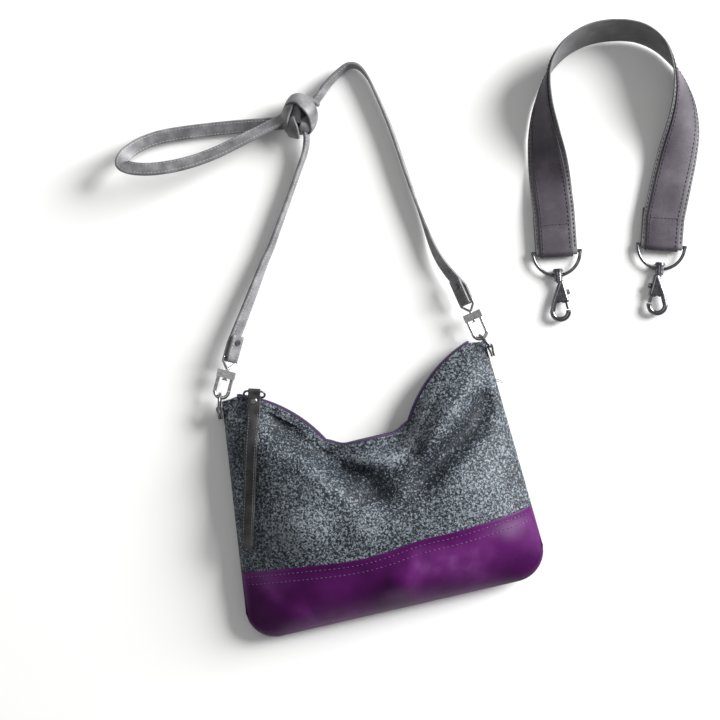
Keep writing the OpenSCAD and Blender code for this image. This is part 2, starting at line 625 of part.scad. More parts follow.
eye_depth = handle_w / 2 + 2.6;
barrel_r = 3.9;
barrel_h = 7;
shank_r = 2.2;
collar_h = 1.6;
snap_gap = 0.2;
neck_y = eye_depth + barrel_h / 2 + snap_gap;
body_y = neck_y + 3.2;
web_y = body_y + 16;
hook_c = web_y + 10;
hook_r = snap_in + snap_wire_r;
module snap_eye(side) {
    color("#2f2f33") at_end(side) difference() {
        union() {
            rotate([0, 90, 0])
                cylinder(r = snap_eye_r, h = 2 * (eye_depth + snap_eye_r), center = true, $fn = round_fn);
            rotate([0, 0, 180]) rotate_extrude(angle = 180, $fn = round_fn) translate([eye_depth, 0])
                circle(r = snap_eye_r - 0.05, $fn = round_fn);
            translate([0, -eye_depth, 0]) rotate([90, 0, 0])
                cylinder(r = barrel_r, h = barrel_h, center = true, $fn = round_fn);
        }
        translate([0, -eye_depth, 0]) rotate([90, 0, 0])
            cylinder(r = shank_r + pin_gap, h = barrel_h + 2, center = true, $fn = round_fn);
    }
}
module left_snap_eye() snap_eye(-1);
module right_snap_eye() snap_eye(1);

bolt_x = hook_r;
bolt_r = 1.5;
bolt_turn = 12;
nose_y = -hook_c + 1.6;
bore_len = 24;
bolt_len = bore_len - trigger_travel - 1.4;
knob_x = 3.4;
knob_y = bolt_len - 1.4;
// The right snap lies with its bolt on the other side
module at_snap(side) at_end(side) rotate([0, side < 0 ? 0 : 180, 0]) children();
module snap_hook(side) {
    color("#26262a") at_snap(side) difference() {
        union() {
            // Cap, shank and collar
            translate([0, -eye_depth + barrel_h / 2 + snap_gap, 0]) rotate([-90, 0, 0])
                cylinder(r1 = 5.2, r2 = 4, h = 2.6, $fn = round_fn);
            translate([0, -body_y, 0]) rotate([-90, 0, 0])
                cylinder(r = shank_r, h = body_y - eye_depth + barrel_h / 2 + 1, $fn = round_fn);
            translate([0, -neck_y - collar_h, 0]) rotate([-90, 0, 0])
                cylinder(r = 3.6, h = collar_h, $fn = round_fn);
            // Body that carries the bolt, back of the hook, and the hook as half a ring
            hull() {
                translate([2.4, -body_y, 0]) sphere(r = 3, $fn = 24);
                translate([bolt_x - 1.6, -web_y, 0]) sphere(r = 2.9, $fn = 24);
                translate([-4.6, -web_y, 0]) sphere(r = snap_wire_r, $fn = 24);
            }
            hull() {
                translate([-4.6, -web_y, 0]) sphere(r = snap_wire_r, $fn = 24);
                translate([-hook_r, -hook_c, 0]) sphere(r = snap_wire_r - 0.03, $fn = 24);
            }
            translate([0, -hook_c, 0]) rotate([0, 0, 176]) rotate_extrude(angle = 190, $fn = round_fn)
                translate([hook_r, 0]) circle(r = snap_wire_r, $fn = round_fn);
        }
        hull() {
            translate([0, -hook_c, -5]) cylinder(r = snap_in, h = 10, $fn = round_fn);
            translate([0.6, -web_y - 4, -5]) cylinder(r = 2.4, h = 10, $fn = round_fn);
        }
        // Bore and thumb slot for the bolt
        translate([bolt_x, nose_y, 0]) rotate([-90, 0, bolt_turn])
            cylinder(r = bolt_r + 0.12, h = bore_len, $fn = round_fn);
        translate([bolt_x, nose_y, 0]) rotate([0, 0, bolt_turn])
            translate([0, knob_y - 1.1, -1]) cube([6, trigger_travel + 2.2, 2]);
    }
}
module left_snap_hook() snap_hook(-1);
module right_snap_hook() snap_hook(1);

module at_bolt(side) at_snap(side) translate([bolt_x, nose_y, 0]) rotate([0, 0, bolt_turn]) children();
module snap_trigger(side) {
    color("#3a3a3e") at_bolt(side) union() {
        translate([0, 0.2, 0]) rotate([-90, 0, 0]) cylinder(r = bolt_r, h = bolt_len, $fn = round_fn);
        translate([0, knob_y, 0]) rotate([0, 90, 0]) cylinder(r = 0.75, h = knob_x + 0.2, $fn = round_fn);
        translate([knob_x, knob_y, 0]) rotate([0, 90, 0])
            cylinder(r1 = 2.7, r2 = 2.2, h = 1.8, $fn = round_fn);
    }
}
module left_snap_trigger() snap_trigger(-1);
module right_snap_trigger() snap_trigger(1);
module snap_spring(side) {
    color("#8e8e92") at_bolt(side) for (k = [0, 1]) translate([0, bore_len - 0.35 - 0.5 * k, 0])
        rotate([90, 0, 0]) rotate_extrude($fn = round_fn) translate([1, 0]) circle(r = 0.28, $fn = round_fn);
}
module left_snap_spring() snap_spring(-1);
module right_snap_spring() snap_spring(1);

// ---- Assembly ----

module place() translate([0, -origin_h, 0]) children();

place() front_upper_panel();
place() back_upper_panel();
place() front_base_panel();
place() back_base_panel();
place() front_lining();
place() back_lining();
place() front_zip_tape();
place() back_zip_tape();
place() front_zip_teeth();
place() back_zip_teeth();
place() zip_start_stop();
place() zip_end_stop();
place() left_ring_tab();
place() right_ring_tab();
place() left_bag_ring();
place() right_bag_ring();
place() zip_slider();
place() zip_pull_ring();
place() zip_pull_strap();
place() zip_pull_rivet();
place() left_strap_run();
place() right_strap_run();
place() strap_loop();
place() strap_knot();
place() left_strap_stud();
place() right_strap_stud();
place() left_strap_eye();
place() right_strap_eye();
place() left_clip_body();
place() right_clip_body();
place() left_clip_gate();
place() right_clip_gate();
place() left_gate_pin();
place() right_gate_pin();
place() left_gate_spring();
place() right_gate_spring();
place() handle_face();
place() handle_lining();
place() left_handle_fold();
place() right_handle_fold();
place() left_snap_eye();
place() right_snap_eye();
place() left_snap_hook();
place() right_snap_hook();
place() left_snap_trigger();
place() right_snap_trigger();
place() left_snap_spring();
place() right_snap_spring();
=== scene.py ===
# %% [markdown]
# A soft leather zip bag lies on its back, with a knotted crossbody strap and a loose
# shoulder strap beside it. The metal parts come from the CAD model as they are. Every
# piece of leather, cloth and thread is made here, as a fine mesh in the place of its
# plain CAD solid.
# The file is read in cells: each step is told first, and made in the cell below it.

# %% Load the frame
import json
import math
import random

import bmesh
import bpy
import numpy as np
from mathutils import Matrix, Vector


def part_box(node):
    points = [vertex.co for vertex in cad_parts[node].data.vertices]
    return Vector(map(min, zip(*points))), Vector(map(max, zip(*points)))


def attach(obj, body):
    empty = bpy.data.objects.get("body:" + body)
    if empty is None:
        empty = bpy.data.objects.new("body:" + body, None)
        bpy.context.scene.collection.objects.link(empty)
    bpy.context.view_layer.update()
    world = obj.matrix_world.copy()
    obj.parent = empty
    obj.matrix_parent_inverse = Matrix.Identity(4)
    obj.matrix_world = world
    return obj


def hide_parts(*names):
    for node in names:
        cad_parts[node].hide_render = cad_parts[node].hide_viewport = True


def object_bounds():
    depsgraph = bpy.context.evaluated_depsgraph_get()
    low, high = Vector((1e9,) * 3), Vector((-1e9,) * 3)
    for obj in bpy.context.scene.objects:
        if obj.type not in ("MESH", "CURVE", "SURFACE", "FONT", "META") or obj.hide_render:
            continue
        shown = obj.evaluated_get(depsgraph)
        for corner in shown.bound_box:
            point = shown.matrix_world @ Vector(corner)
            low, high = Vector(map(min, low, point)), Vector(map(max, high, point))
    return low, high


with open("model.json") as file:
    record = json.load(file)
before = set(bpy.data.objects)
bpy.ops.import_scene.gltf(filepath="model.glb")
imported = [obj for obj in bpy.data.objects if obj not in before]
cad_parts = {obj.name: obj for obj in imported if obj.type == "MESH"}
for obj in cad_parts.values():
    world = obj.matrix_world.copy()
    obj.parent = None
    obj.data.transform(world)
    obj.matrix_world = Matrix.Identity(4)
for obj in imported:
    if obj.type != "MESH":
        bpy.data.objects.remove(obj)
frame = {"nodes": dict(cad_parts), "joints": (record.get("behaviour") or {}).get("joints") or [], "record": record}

scene = bpy.context.scene
nodes = frame["nodes"]
joints = {j["name"]: j for j in frame["joints"]}
cad_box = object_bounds()
random.seed(7)
print("CAD box", [round(v, 3) for v in (*cad_box[0], *cad_box[1])])

# %% [markdown]
# The camera comes first, because everything after it is judged through it. The bag lies
# flat and is seen from straight above, so the camera is a long lens pointing down, and it
# is rolled a little so that the bag lies askew in the frame.

# %% The camera
VIEW_WIDTH = 0.6624
VIEW_CENTRE = Vector((0.0152, 0.1241, 0))
VIEW_ROLL = math.radians(-13)
LENS = 85
SENSOR = 36
view_height = VIEW_WIDTH * LENS / SENSOR
camera = bpy.data.objects.new("camera", bpy.data.cameras.new("camera"))
camera.data.lens = LENS
camera.data.sensor_width = SENSOR
camera.data.clip_end = 10
camera.location = VIEW_CENTRE + Vector((0, 0, view_height))
camera.rotation_euler = (0, 0, VIEW_ROLL)
scene.collection.objects.link(camera)
scene.camera = camera
print("camera height", round(view_height, 3))

# %% [markdown]
# The floor is a matt white sweep. One large soft light stands to the right of the bag,
# low enough for its folds to cast shade to the left, and the white surroundings fill
# that shade.

# %% Floor and light
def linear(code):
    """Colour from an sRGB hex value, as Blender's linear numbers."""
    parts = [int(code[i:i + 2], 16) / 255 for i in (1, 3, 5)]
    return [c / 12.92 if c <= 0.04045 else ((c + 0.055) / 1.055) ** 2.4 for c in parts] + [1.0]


def add(mat, kind, links=(), **settings):
    """Add a node, set its inputs or properties by name, and link (output, input) pairs to it."""
    node = mat.node_tree.nodes.new("ShaderNode" + kind)
    for name, value in settings.items():
        if hasattr(node, name):
            setattr(node, name, value)
        else:
            node.inputs[name.replace("_", " ")].default_value = value
    for source, target in links:
        mat.node_tree.links.new(source, node.inputs[target])
    return node


def new_material(name, **shader):
    """A material with its principled shader's own sockets set."""
    mat = bpy.data.materials.new(name)
    mat.use_nodes = True
    bsdf = mat.node_tree.nodes["Principled BSDF"]
    for key, value in shader.items():
        bsdf.inputs[key.replace("_", " ")].default_value = value
    return mat, bsdf


floor_mesh = bpy.data.meshes.new("floor")
FLOOR = 6.0
floor_mesh.from_pydata([(-FLOOR, -FLOOR, 0), (FLOOR, -FLOOR, 0), (FLOOR, FLOOR, 0), (-FLOOR, FLOOR, 0)],
    [], [(0, 1, 2, 3)])
floor = bpy.data.objects.new("floor", floor_mesh)
floor.location.z = cad_box[0].z - 0.0004
scene.collection.objects.link(floor)
paper, _ = new_material("matt_white_paper", Base_Color=linear("#f7f7f6"), Roughness=0.95)
floor_mesh.materials.append(paper)


def area_light(name, place, size, power):
    """A soft box that looks at the middle of the view."""
    lamp = bpy.data.lights.new(name, "AREA")
    lamp.shape = "DISK"
    lamp.size = size
    lamp.energy = power
    obj = bpy.data.objects.new(name, lamp)
    obj.location = VIEW_CENTRE + Vector(place)
    obj.rotation_euler = (-Vector(place)).to_track_quat("-Z", "Y").to_euler()
    scene.collection.objects.link(obj)
    return obj


area_light("key", (3.4, 0.8, 1.75), 2.3, 345)
area_light("top", (-0.3, 0.9, 2.6), 1.6, 8)
world = bpy.data.worlds.new("studio")
scene.world = world
world.use_nodes = True
world.node_tree.nodes["Background"].inputs["Color"].default_value = linear("#ffffff")
world.node_tree.nodes["Background"].inputs["Strength"].default_value = 0.25
scene.view_settings.view_transform = "Standard"
scene.view_settings.look = "None"
print("lights made")

# %% [markdown]
# Leather is skin. The upper leather was embossed with a pebble grain, dyed dark and then
# rubbed with a pale finish that stays on the tops of the pebbles, so it reads as pale
# crackle on slate. The pattern could be painted; noise is used for the pebbles and cell
# borders for the creases, so that the same height drives both colour and relief.

# %% Leather materials
MM = 1000


def grain(mat, size_mm, warp=0.35, seed=0.0, stretch=(1, 1, 1)):
    """Distance to the nearest crease of a pebble grain of that size, 0 in the crease."""
    place = add(mat, "TexCoord").outputs["Object"]
    mapped = add(mat, "Mapping", [(place, "Vector")], Location=(seed, seed, seed), Scale=stretch)
    noise = add(mat, "TexNoise", [(mapped.outputs[0], "Vector")], Scale=MM / size_mm * 0.8, Detail=2.0)
    shift = add(mat, "VectorMath", [(noise.outputs["Color"], 0)], operation="SCALE")
    shift.inputs["Scale"].default_value = warp * size_mm / MM
    moved = add(mat, "VectorMath", [(mapped.outputs[0], 0), (shift.outputs[0], 1)], operation="ADD")
    cells = add(mat, "TexVoronoi", [(moved.outputs[0], "Vector")], feature="DISTANCE_TO_EDGE",
        Scale=MM / size_mm)
    return cells.outputs["Distance"], moved.outputs[0]


def ramp(mat, source, stops):
    """A colour ramp with (position, hex colour) stops."""
    node = add(mat, "ValToRGB", [(source, "Fac")])
    steps = node.color_ramp.elements
    while len(steps) < len(stops):
        steps.new(0.5)
    for step, (at, code) in zip(steps, stops):
        step.position = at
        step.color = linear(code)
    return node.outputs["Color"]


def raise_relief(mat, bsdf, height, depth_mm, strength=1.0, under=None):
    """Relief of that depth from a height, on top of another relief."""
    links = [(height, "Height")]
    if under is not None:
        links.append((under, "Normal"))
    bump = add(mat, "Bump", links, Strength=strength, Distance=depth_mm / MM)
    mat.node_tree.links.new(bump.outputs[0], bsdf.inputs["Normal"])
    return bump.outputs[0]


# Wandering pebbles of about 2 mm: pale where the finish was rubbed on, dark in the creases
PEBBLE_MM = 2.05
crackle, shader = new_material("rubbed_pebble_leather", Roughness=0.55, IOR=1.45,
    Specular_IOR_Level=0.4)
edge, place = grain(crackle, PEBBLE_MM * 1.3, warp=0.8)
pebbles = add(crackle, "TexNoise", [(place, "Vector")], Scale=MM / PEBBLE_MM, Detail=1.0,
    Distortion=0.7)
soft_edge = add(crackle, "MapRange", [(edge, "Value")], From_Max=0.16, To_Min=-0.09,
    To_Max=0.05).outputs[0]
height = add(crackle, "Math", [(pebbles.outputs["Fac"], 0), (soft_edge, 1)], operation="ADD").outputs[0]
patches = add(crackle, "TexNoise", [(place, "Vector")], Scale=MM / 24, Detail=2.0).outputs["Fac"]
shift = add(crackle, "MapRange", [(patches, "Value")], To_Min=-0.09, To_Max=0.09).outputs[0]
rubbed_and_painted_shade = add(crackle, "Math", [(height, 0), (shift, 1)], operation="ADD").outputs[0]
# Ridges of the folds paler and their valleys darker: painted light and shade, from a value stored on the mesh
painted_fold_shade = add(crackle, "Attribute", attribute_name="wear_and_painted_shade").outputs["Fac"]
rubbed_and_painted_shade = add(crackle, "Math", [(rubbed_and_painted_shade, 0), (painted_fold_shade, 1)], operation="ADD").outputs[0]
tops = ramp(crackle, rubbed_and_painted_shade,
    [(0.34, "#12181e"), (0.46, "#2a3239"), (0.55, "#535a62"), (0.68, "#81888f")])
crackle.node_tree.links.new(tops, shader.inputs["Base Color"])
raise_relief(crackle, shader, height, 1.2, 0.7)

# Smooth purple leather: a fine grain of 0.9 mm under a wax finish, in darker and paler clouds at random; the
# palest clouds are a painted sheen
base_leather, shader = new_material("waxed_purple_leather", Roughness=0.4, IOR=1.4,
    Specular_IOR_Level=0.18)
edge, place = grain(base_leather, 0.9, seed=3.0)
clouds = add(base_leather, "TexNoise", [(place, "Vector")], Scale=MM / 60, Detail=4.0).outputs["Fac"]
tone = ramp(base_leather, clouds,
    [(0.34, "#3a0a40"), (0.5, "#4a1250"), (0.6, "#5c2362"), (0.74, "#784580")])
base_leather.node_tree.links.new(tone, shader.inputs["Base Color"])
shine = add(base_leather, "MapRange", [(clouds, "Value")], To_Min=0.3, To_Max=0.46).outputs[0]
base_leather.node_tree.links.new(shine, shader.inputs["Roughness"])
raise_relief(base_leather, shader, edge, 0.22, 0.5)


def strap_leather(name, dark, mid, pale, roughness, wear_mm=14, grain_mm=0.8, relief=0.16):
    """Strap leather: a cloudy dye, a fine grain and faint creases."""
    mat, bsdf = new_material(name, Roughness=roughness, IOR=1.48)
    edge, place = grain(mat, grain_mm, seed=5.0)
    wear_and_painted_shade = add(mat, "TexNoise", [(place, "Vector")], Scale=MM / wear_mm, Detail=6.0, Roughness=0.6)
    tone = ramp(mat, wear_and_painted_shade.outputs["Fac"], [(0.32, dark), (0.5, mid), (0.7, pale)])
    mat.node_tree.links.new(tone, bsdf.inputs["Base Color"])
    raise_relief(mat, bsdf, edge, relief, 0.5)
    return mat


grey_strap = strap_leather("creased_grey_leather", "#58585a", "#6e6e70", "#8b8b8d", 0.45)
dark_strap = strap_leather("waxed_charcoal_leather", "#1d1d1e", "#2c2c2d", "#464646", 0.36)
mauve_leather = strap_leather("mauve_grain_leather", "#3a353c", "#453f48", "#554e57", 0.5, 22, 1.4, 0.4)
lining_leather = strap_leather("grey_lining_leather", "#5c5c5e", "#68686a", "#7a7a7b", 0.6, 20)
# Near-black leather for the core of the knot: painted shade inside it
knot_shade = strap_leather("leather_inside_the_knot", "#1c1c1d", "#262627", "#3a3a3b", 0.6)
print("leathers", [m.name for m in bpy.data.materials if "leather" in m.name])

# %% [markdown]
# Cloth and tape are woven: threads pass over and under each other. Two crossed sine waves
# give that relief at the thread spacing. The zip tape is drawn coarser than the real
# 0.4 mm weave, so that it shows.

# %% Cloth, thread and metal
def woven(name, dark, pale, thread_mm, roughness=0.85):
    """A plain weave of two crossed waves at the thread spacing."""
    mat, bsdf = new_material(name, Roughness=roughness, Sheen_Weight=0.15)
    place = add(mat, "TexCoord").outputs["Object"]
    waves = [add(mat, "TexWave", [(place, "Vector")], bands_direction=way, Scale=MM / thread_mm / 6.28,
        Distortion=0.4).outputs["Fac"] for way in "XY"]
    over = add(mat, "Math", [(waves[0], 0), (waves[1], 1)], operation="MULTIPLY").outputs[0]
    mat.node_tree.links.new(ramp(mat, over, [(0.0, dark), (0.8, pale)]), bsdf.inputs["Base Color"])
    raise_relief(mat, bsdf, over, thread_mm * 0.4, 0.6)
    return mat


def thread(name, dark, pale, twist_mm=0.5):
    """Twisted polyester sewing thread."""
    mat, bsdf = new_material(name, Roughness=0.55, Sheen_Weight=0.2)
    place = add(mat, "TexCoord").outputs["Object"]
    turns = add(mat, "TexWave", [(place, "Vector")], bands_direction="DIAGONAL",
        Scale=MM / twist_mm / 6.28).outputs["Fac"]
    mat.node_tree.links.new(ramp(mat, turns, [(0.2, dark), (0.8, pale)]), bsdf.inputs["Base Color"])
    raise_relief(mat, bsdf, turns, 0.1, 0.4)
    return mat


def plated(name, code, roughness, wear_code, mottle_mm=3.0):
    """Plated metal: one colour, with faint handling marks in its gloss."""
    mat, bsdf = new_material(name, Metallic=1.0, Roughness=roughness)
    place = add(mat, "TexCoord").outputs["Object"]
    marks = add(mat, "TexNoise", [(place, "Vector")], Scale=MM / mottle_mm, Detail=5.0).outputs["Fac"]
    tone = ramp(mat, marks, [(0.35, code), (0.75, wear_code)])
    mat.node_tree.links.new(tone, bsdf.inputs["Base Color"])
    gloss = add(mat, "MapRange", [(marks, "Value")], To_Min=roughness - 0.06, To_Max=roughness + 0.1)
    mat.node_tree.links.new(gloss.outputs[0], bsdf.inputs["Roughness"])
    fine = add(mat, "TexNoise", [(place, "Vector")], Scale=MM / 0.6, Detail=2.0).outputs["Fac"]
    raise_relief(mat, bsdf, fine, 0.02, 0.3)
    return mat


lining_cloth = woven("cotton_lining", "#5d6066", "#7f828a", 0.7)
zip_tape = woven("purple_zip_tape", "#382646", "#5a4470", 0.8)
pale_thread = thread("lilac_thread", "#3d1a46", "#70507a")
grey_thread = thread("pale_grey_thread", "#9b9b9d", "#c8c8c9")
black_thread = thread("black_thread", "#17161a", "#2c2a30")
pull_thread = thread("dark_grey_thread", "#5a5a5b", "#77777a")
coil_nylon, shader = new_material("nylon_zip_coil", Roughness=0.35, IOR=1.53)
edge, place = grain(coil_nylon, 0.5)
coil_nylon.node_tree.links.new(ramp(coil_nylon, edge, [(0.0, "#1f1b24"), (0.6, "#3b3542")]),
    shader.inputs["Base Color"])
gunmetal = plated("gunmetal_plated_zinc", "#6c6c6f", 0.3, "#8c8c90")
nickel = plated("dull_nickel_plate", "#a8a8aa", 0.26, "#cacacb")
black_nickel = plated("black_nickel_plate", "#6a6a6e", 0.2, "#8b8b8f")
spring_steel = plated("drawn_spring_steel", "#9a9a9c", 0.3, "#c0c0c2")
METALS = {"gunmetal": gunmetal, "nickel_plate": nickel, "black_nickel": black_nickel,
    "spring_steel": spring_steel}
slot_of = {s["node"]: s["material_slot"] for s in frame["record"]["subparts"]}
for name, obj in nodes.items():
    if slot_of[name] in METALS:
        obj.data.materials.clear()
        obj.data.materials.append(METALS[slot_of[name]])
print("metal nodes", sum(slot_of[n] in METALS for n in nodes))

# %% [markdown]
# Every leather and cloth piece is a grid of points: a rule gives the place of each point,
# and the faces follow from the grid. A copy of the grid moved in along its normals gives
# the sheet its thickness and a small bevel rounds its cut edges, as an edge slicker does
# on leather. Lengths are in millimetres above the bag's bottom seam, as in the CAD model,
# and are moved into the frame in metres at the end.

# %% Mesh helpers
BASE_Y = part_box("front_base_panel")[0].y


def to_frame(points):
    """Millimetres with height above the bottom seam, to metres in the frame."""
    out = np.array(points, float) / MM
    out[..., 1] += BASE_Y
    return out


def new_piece(name, verts, faces, material, body, replaced=(), smooth=True):
    mesh = bpy.data.meshes.new(name)
    mesh.from_pydata([tuple(v) for v in verts], [], faces)
    bm = bmesh.new()
    bm.from_mesh(mesh)
    bmesh.ops.recalc_face_normals(bm, faces=bm.faces)
    bm.to_mesh(mesh)
    bm.free()
    mesh.polygons.foreach_set("use_smooth", [smooth] * len(mesh.polygons))
    mesh.materials.append(material)
    obj = bpy.data.objects.new(name, mesh)
    scene.collection.objects.link(obj)
    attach(obj, body)
    if replaced:
        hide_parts(*replaced)
    return obj


def grid_faces(rows, cols, closed=False):
    wrap = cols if closed else cols - 1
    return [(j * cols + i, j * cols + (i + 1) % cols, (j + 1) * cols + (i + 1) % cols, (j + 1) * cols + i)
        for j in range(rows - 1) for i in range(wrap)]


def apply_modifiers(obj):
    graph = bpy.context.evaluated_depsgraph_get()
    mesh = bpy.data.meshes.new_from_object(obj.evaluated_get(graph))
    obj.modifiers.clear()
    obj.data = mesh


def add_sheet(name, points, thick_mm, material, body, replaced=(), inward=(0, 0, -1), wear_and_painted_shade=None):
    """A sheet of leather or cloth from a grid of points on its outer side, with an optional value at each point
    that paints light on its ridges and shade in its folds.
    """
    rows, cols = points.shape[:2]
    steps = np.gradient(points, axis=1), np.gradient(points, axis=0)
    normal = np.cross(steps[0], steps[1])
    normal /= np.linalg.norm(normal, axis=2, keepdims=True) + 1e-12
    if (normal @ np.array(inward)).mean() < 0:
        normal = -normal
    inner = points + normal * thick_mm
    n = rows * cols
    outer_faces = grid_faces(rows, cols)
    inner_faces = [tuple(n + k for k in reversed(f)) for f in outer_faces]
    rim = [i for i in range(cols - 1)] + [j * cols + cols - 1 for j in range(rows - 1)]
    rim += [(rows - 1) * cols + i for i in range(cols - 1, 0, -1)]
    rim += [j * cols for j in range(rows - 1, 0, -1)]
    side = [(rim[k], rim[k - 1], rim[k - 1] + n, rim[k] + n) for k in range(len(rim))]
    verts = to_frame(np.concatenate([points.reshape(-1, 3), inner.reshape(-1, 3)]))
    obj = new_piece(name, verts, outer_faces + inner_faces + side, material, body, replaced)
    # The value at each point is painted light and shade, for the material to read
    if wear_and_painted_shade is not None:
        layer = obj.data.attributes.new("wear_and_painted_shade", "FLOAT", "POINT")
        layer.data.foreach_set("value", np.tile(wear_and_painted_shade.reshape(-1), 2))
    bevel = obj.modifiers.new("edge", "BEVEL")
    bevel.width = thick_mm * 0.3 / MM
    bevel.segments = 2
    bevel.limit_method = "ANGLE"
    bevel.angle_limit = math.radians(50)
    apply_modifiers(obj)
    return obj


def unit(v):
    v = np.asarray(v, float)
    return v / np.linalg.norm(v, axis=-1, keepdims=True)


def smoothstep(t):
    t = np.clip(t, 0, 1)
    return t * t * (3 - 2 * t)


def bump_at(distance, width):
    return np.exp(-(distance / width) ** 2)


def capsule(length, radius, sides=6):
    """Points of a stitch along +x, rounded at both ends, and its faces."""
    ring = [(-0.5, 0.0), (-0.42, 0.7), (-0.2, 1.0), (0.2, 1.0), (0.42, 0.7), (0.5, 0.0)]
    verts = [(x * length, r * radius * math.cos(2 * math.pi * k / sides),
        r * radius * math.sin(2 * math.pi * k / sides)) for x, r in ring for k in range(sides)]
    return np.array(verts), grid_faces(len(ring), sides, closed=True)


def add_stitches(name, places, material, body, length=2.4, radius=0.32):
    """Stitches at (point, along, out) places, joined into one piece."""
    shape, faces = capsule(length, radius)
    verts, all_faces = [], []
    for point, along, out in places:
        along, out = unit(along), unit(out)
        side = np.cross(out, along)
        all_faces += [tuple(k + len(verts) for k in f) for f in faces]
        verts += list(np.asarray(point) + shape @ np.array([along, side, out]))
    return new_piece(name, to_frame(verts), all_faces, material, body)


def march(line, pitch, start=0.5):
    """Places evenly spaced along a polyline: (share, point, direction)."""
    line = np.asarray(line, float)
    lengths = np.linalg.norm(np.diff(line, axis=0), axis=1)
    reach = np.concatenate([[0], np.cumsum(lengths)])
    spots = np.arange(start * pitch, reach[-1], pitch)
    points = np.stack([np.interp(spots, reach, line[:, k]) for k in range(line.shape[1])], axis=1)
    ahead = np.stack([np.interp(spots + 0.4, reach, line[:, k]) for k in range(line.shape[1])], axis=1)
    back = np.stack([np.interp(spots - 0.4, reach, line[:, k]) for k in range(line.shape[1])], axis=1)
    return spots / reach[-1], points, ahead - back


print("helpers ready, base at", round(BASE_Y, 3))

# %% [markdown]
# The bag is two panels, each of a smooth base and a pebbled upper leather, sewn together
# round the sides and the bottom. The rules below give the outline, the sagging mouth and
# how far the filled front stands out. They repeat the CAD model's rules, so that the
# leather lies where its solid is.

# %% Shape of the bag
HALF_BASE = (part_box("front_base_panel")[1].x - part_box("front_base_panel")[0].x) / 2 * MM
BAG_H = 221
HALF_TOP = 123
LEAN = 7
CORNER_R = 28
FRONT_PUFF = 33
SEAM_Z = 14
LEATHER = 1.6
EDGE_HALF = 1.2
MOUTH_HALF = 4.5
MOUTH_GAPE = 6
ARC_OUT = HALF_TOP + 27
ARC_H = BAG_H - 118
MOUTH_R = 125
MOUTH_LOW = BAG_H - 66


def mouth_h(s):
    """Height of the mouth: level corners, an arc down on each side, and a level middle."""
    x = np.abs(s) * HALF_TOP
    arc = ARC_H + np.sqrt(np.maximum(0, MOUTH_R ** 2 - (ARC_OUT - x) ** 2))
    middle = MOUTH_LOW + 8 * smoothstep((x - 18) / 24) ** 1.5
    return np.minimum(BAG_H - 0.5, np.where(x > 40.3, arc, middle))


def centre_x(h):
    return LEAN * h / BAG_H


def half_w(h):
    return HALF_BASE + (HALF_TOP - HALF_BASE) * np.maximum(0, h - CORNER_R) / (BAG_H - CORNER_R)


def corner_drop(s):
    over = np.maximum(0, np.abs(s) * HALF_BASE - (HALF_BASE - CORNER_R))
    return CORNER_R - np.sqrt(np.maximum(0, CORNER_R ** 2 - over ** 2))


def seam_h(s):
    return 59 + 6 * s * s - 3.5 * bump_at(s + 0.2, 0.3) + 1.6 * bump_at(s - 0.22, 0.16)


def mouth_gap(s):
    flat = np.where(np.abs(s) < 0.78, 1, smoothstep((1 - np.abs(s)) / 0.22))
    part = np.maximum(0, 1 - (s / 0.3) ** 2)
    return EDGE_HALF + (MOUTH_HALF - EDGE_HALF) * flat + MOUTH_GAPE * part * part


def fill(s, h, low):
    return (1 - np.abs(s) ** 3) * (1 - (1 - np.clip((h - low) / 50, 0, 1)) ** 2.4)


def side_gap(s, h, puff):
    share = smoothstep((mouth_h(s) - h) / 45)
    full = EDGE_HALF + puff * fill(s, h, corner_drop(s))
    return mouth_gap(s) + (full - mouth_gap(s)) * share


def across_at(s, t, upper):
    """Place on a panel: s across from -1 to 1, t from its lower edge to its upper edge."""
    low = (centre_x(corner_drop(s)) + s * HALF_BASE, corner_drop(s))
    seam = (centre_x(seam_h(s)) + s * half_w(seam_h(s)), seam_h(s))
    top = (s * HALF_TOP + LEAN, mouth_h(s))
    a, b = (seam, top) if upper else (low, seam)
    return a[0] + (b[0] - a[0]) * t, a[1] + (b[1] - a[1]) * t


def to_line(x, h, line):
    """Distance to a polyline, and the share of its length at the nearest place."""
    line = np.array(line, float)
    best = np.full(np.shape(x), 1e9)
    share = np.zeros(np.shape(x))
    lengths = np.linalg.norm(np.diff(line, axis=0), axis=1)
    for k, (a, b) in enumerate(zip(line[:-1], line[1:])):
        way = b - a
        t = np.clip(((x - a[0]) * way[0] + (h - a[1]) * way[1]) / (way @ way), 0, 1)
        d = np.hypot(x - a[0] - t * way[0], h - a[1] - t * way[1])
        share = np.where(d < best, (lengths[:k].sum() + t * lengths[k]) / lengths.sum(), share)
        best = np.minimum(best, d)
    return best, share


print("bag", round(2 * HALF_BASE), "wide and", BAG_H, "high, in mm")

# %% [markdown]
# The empty top sinks between the two corners, so the front leather rolls over into a
# soft ridge beside the mouth, and two long valleys run from the corners to the middle.
# No cloth simulation is used. Each fold is a line over the panel with a rounded
# cross-section, which keeps it where it belongs, and its depth fades out at both ends.

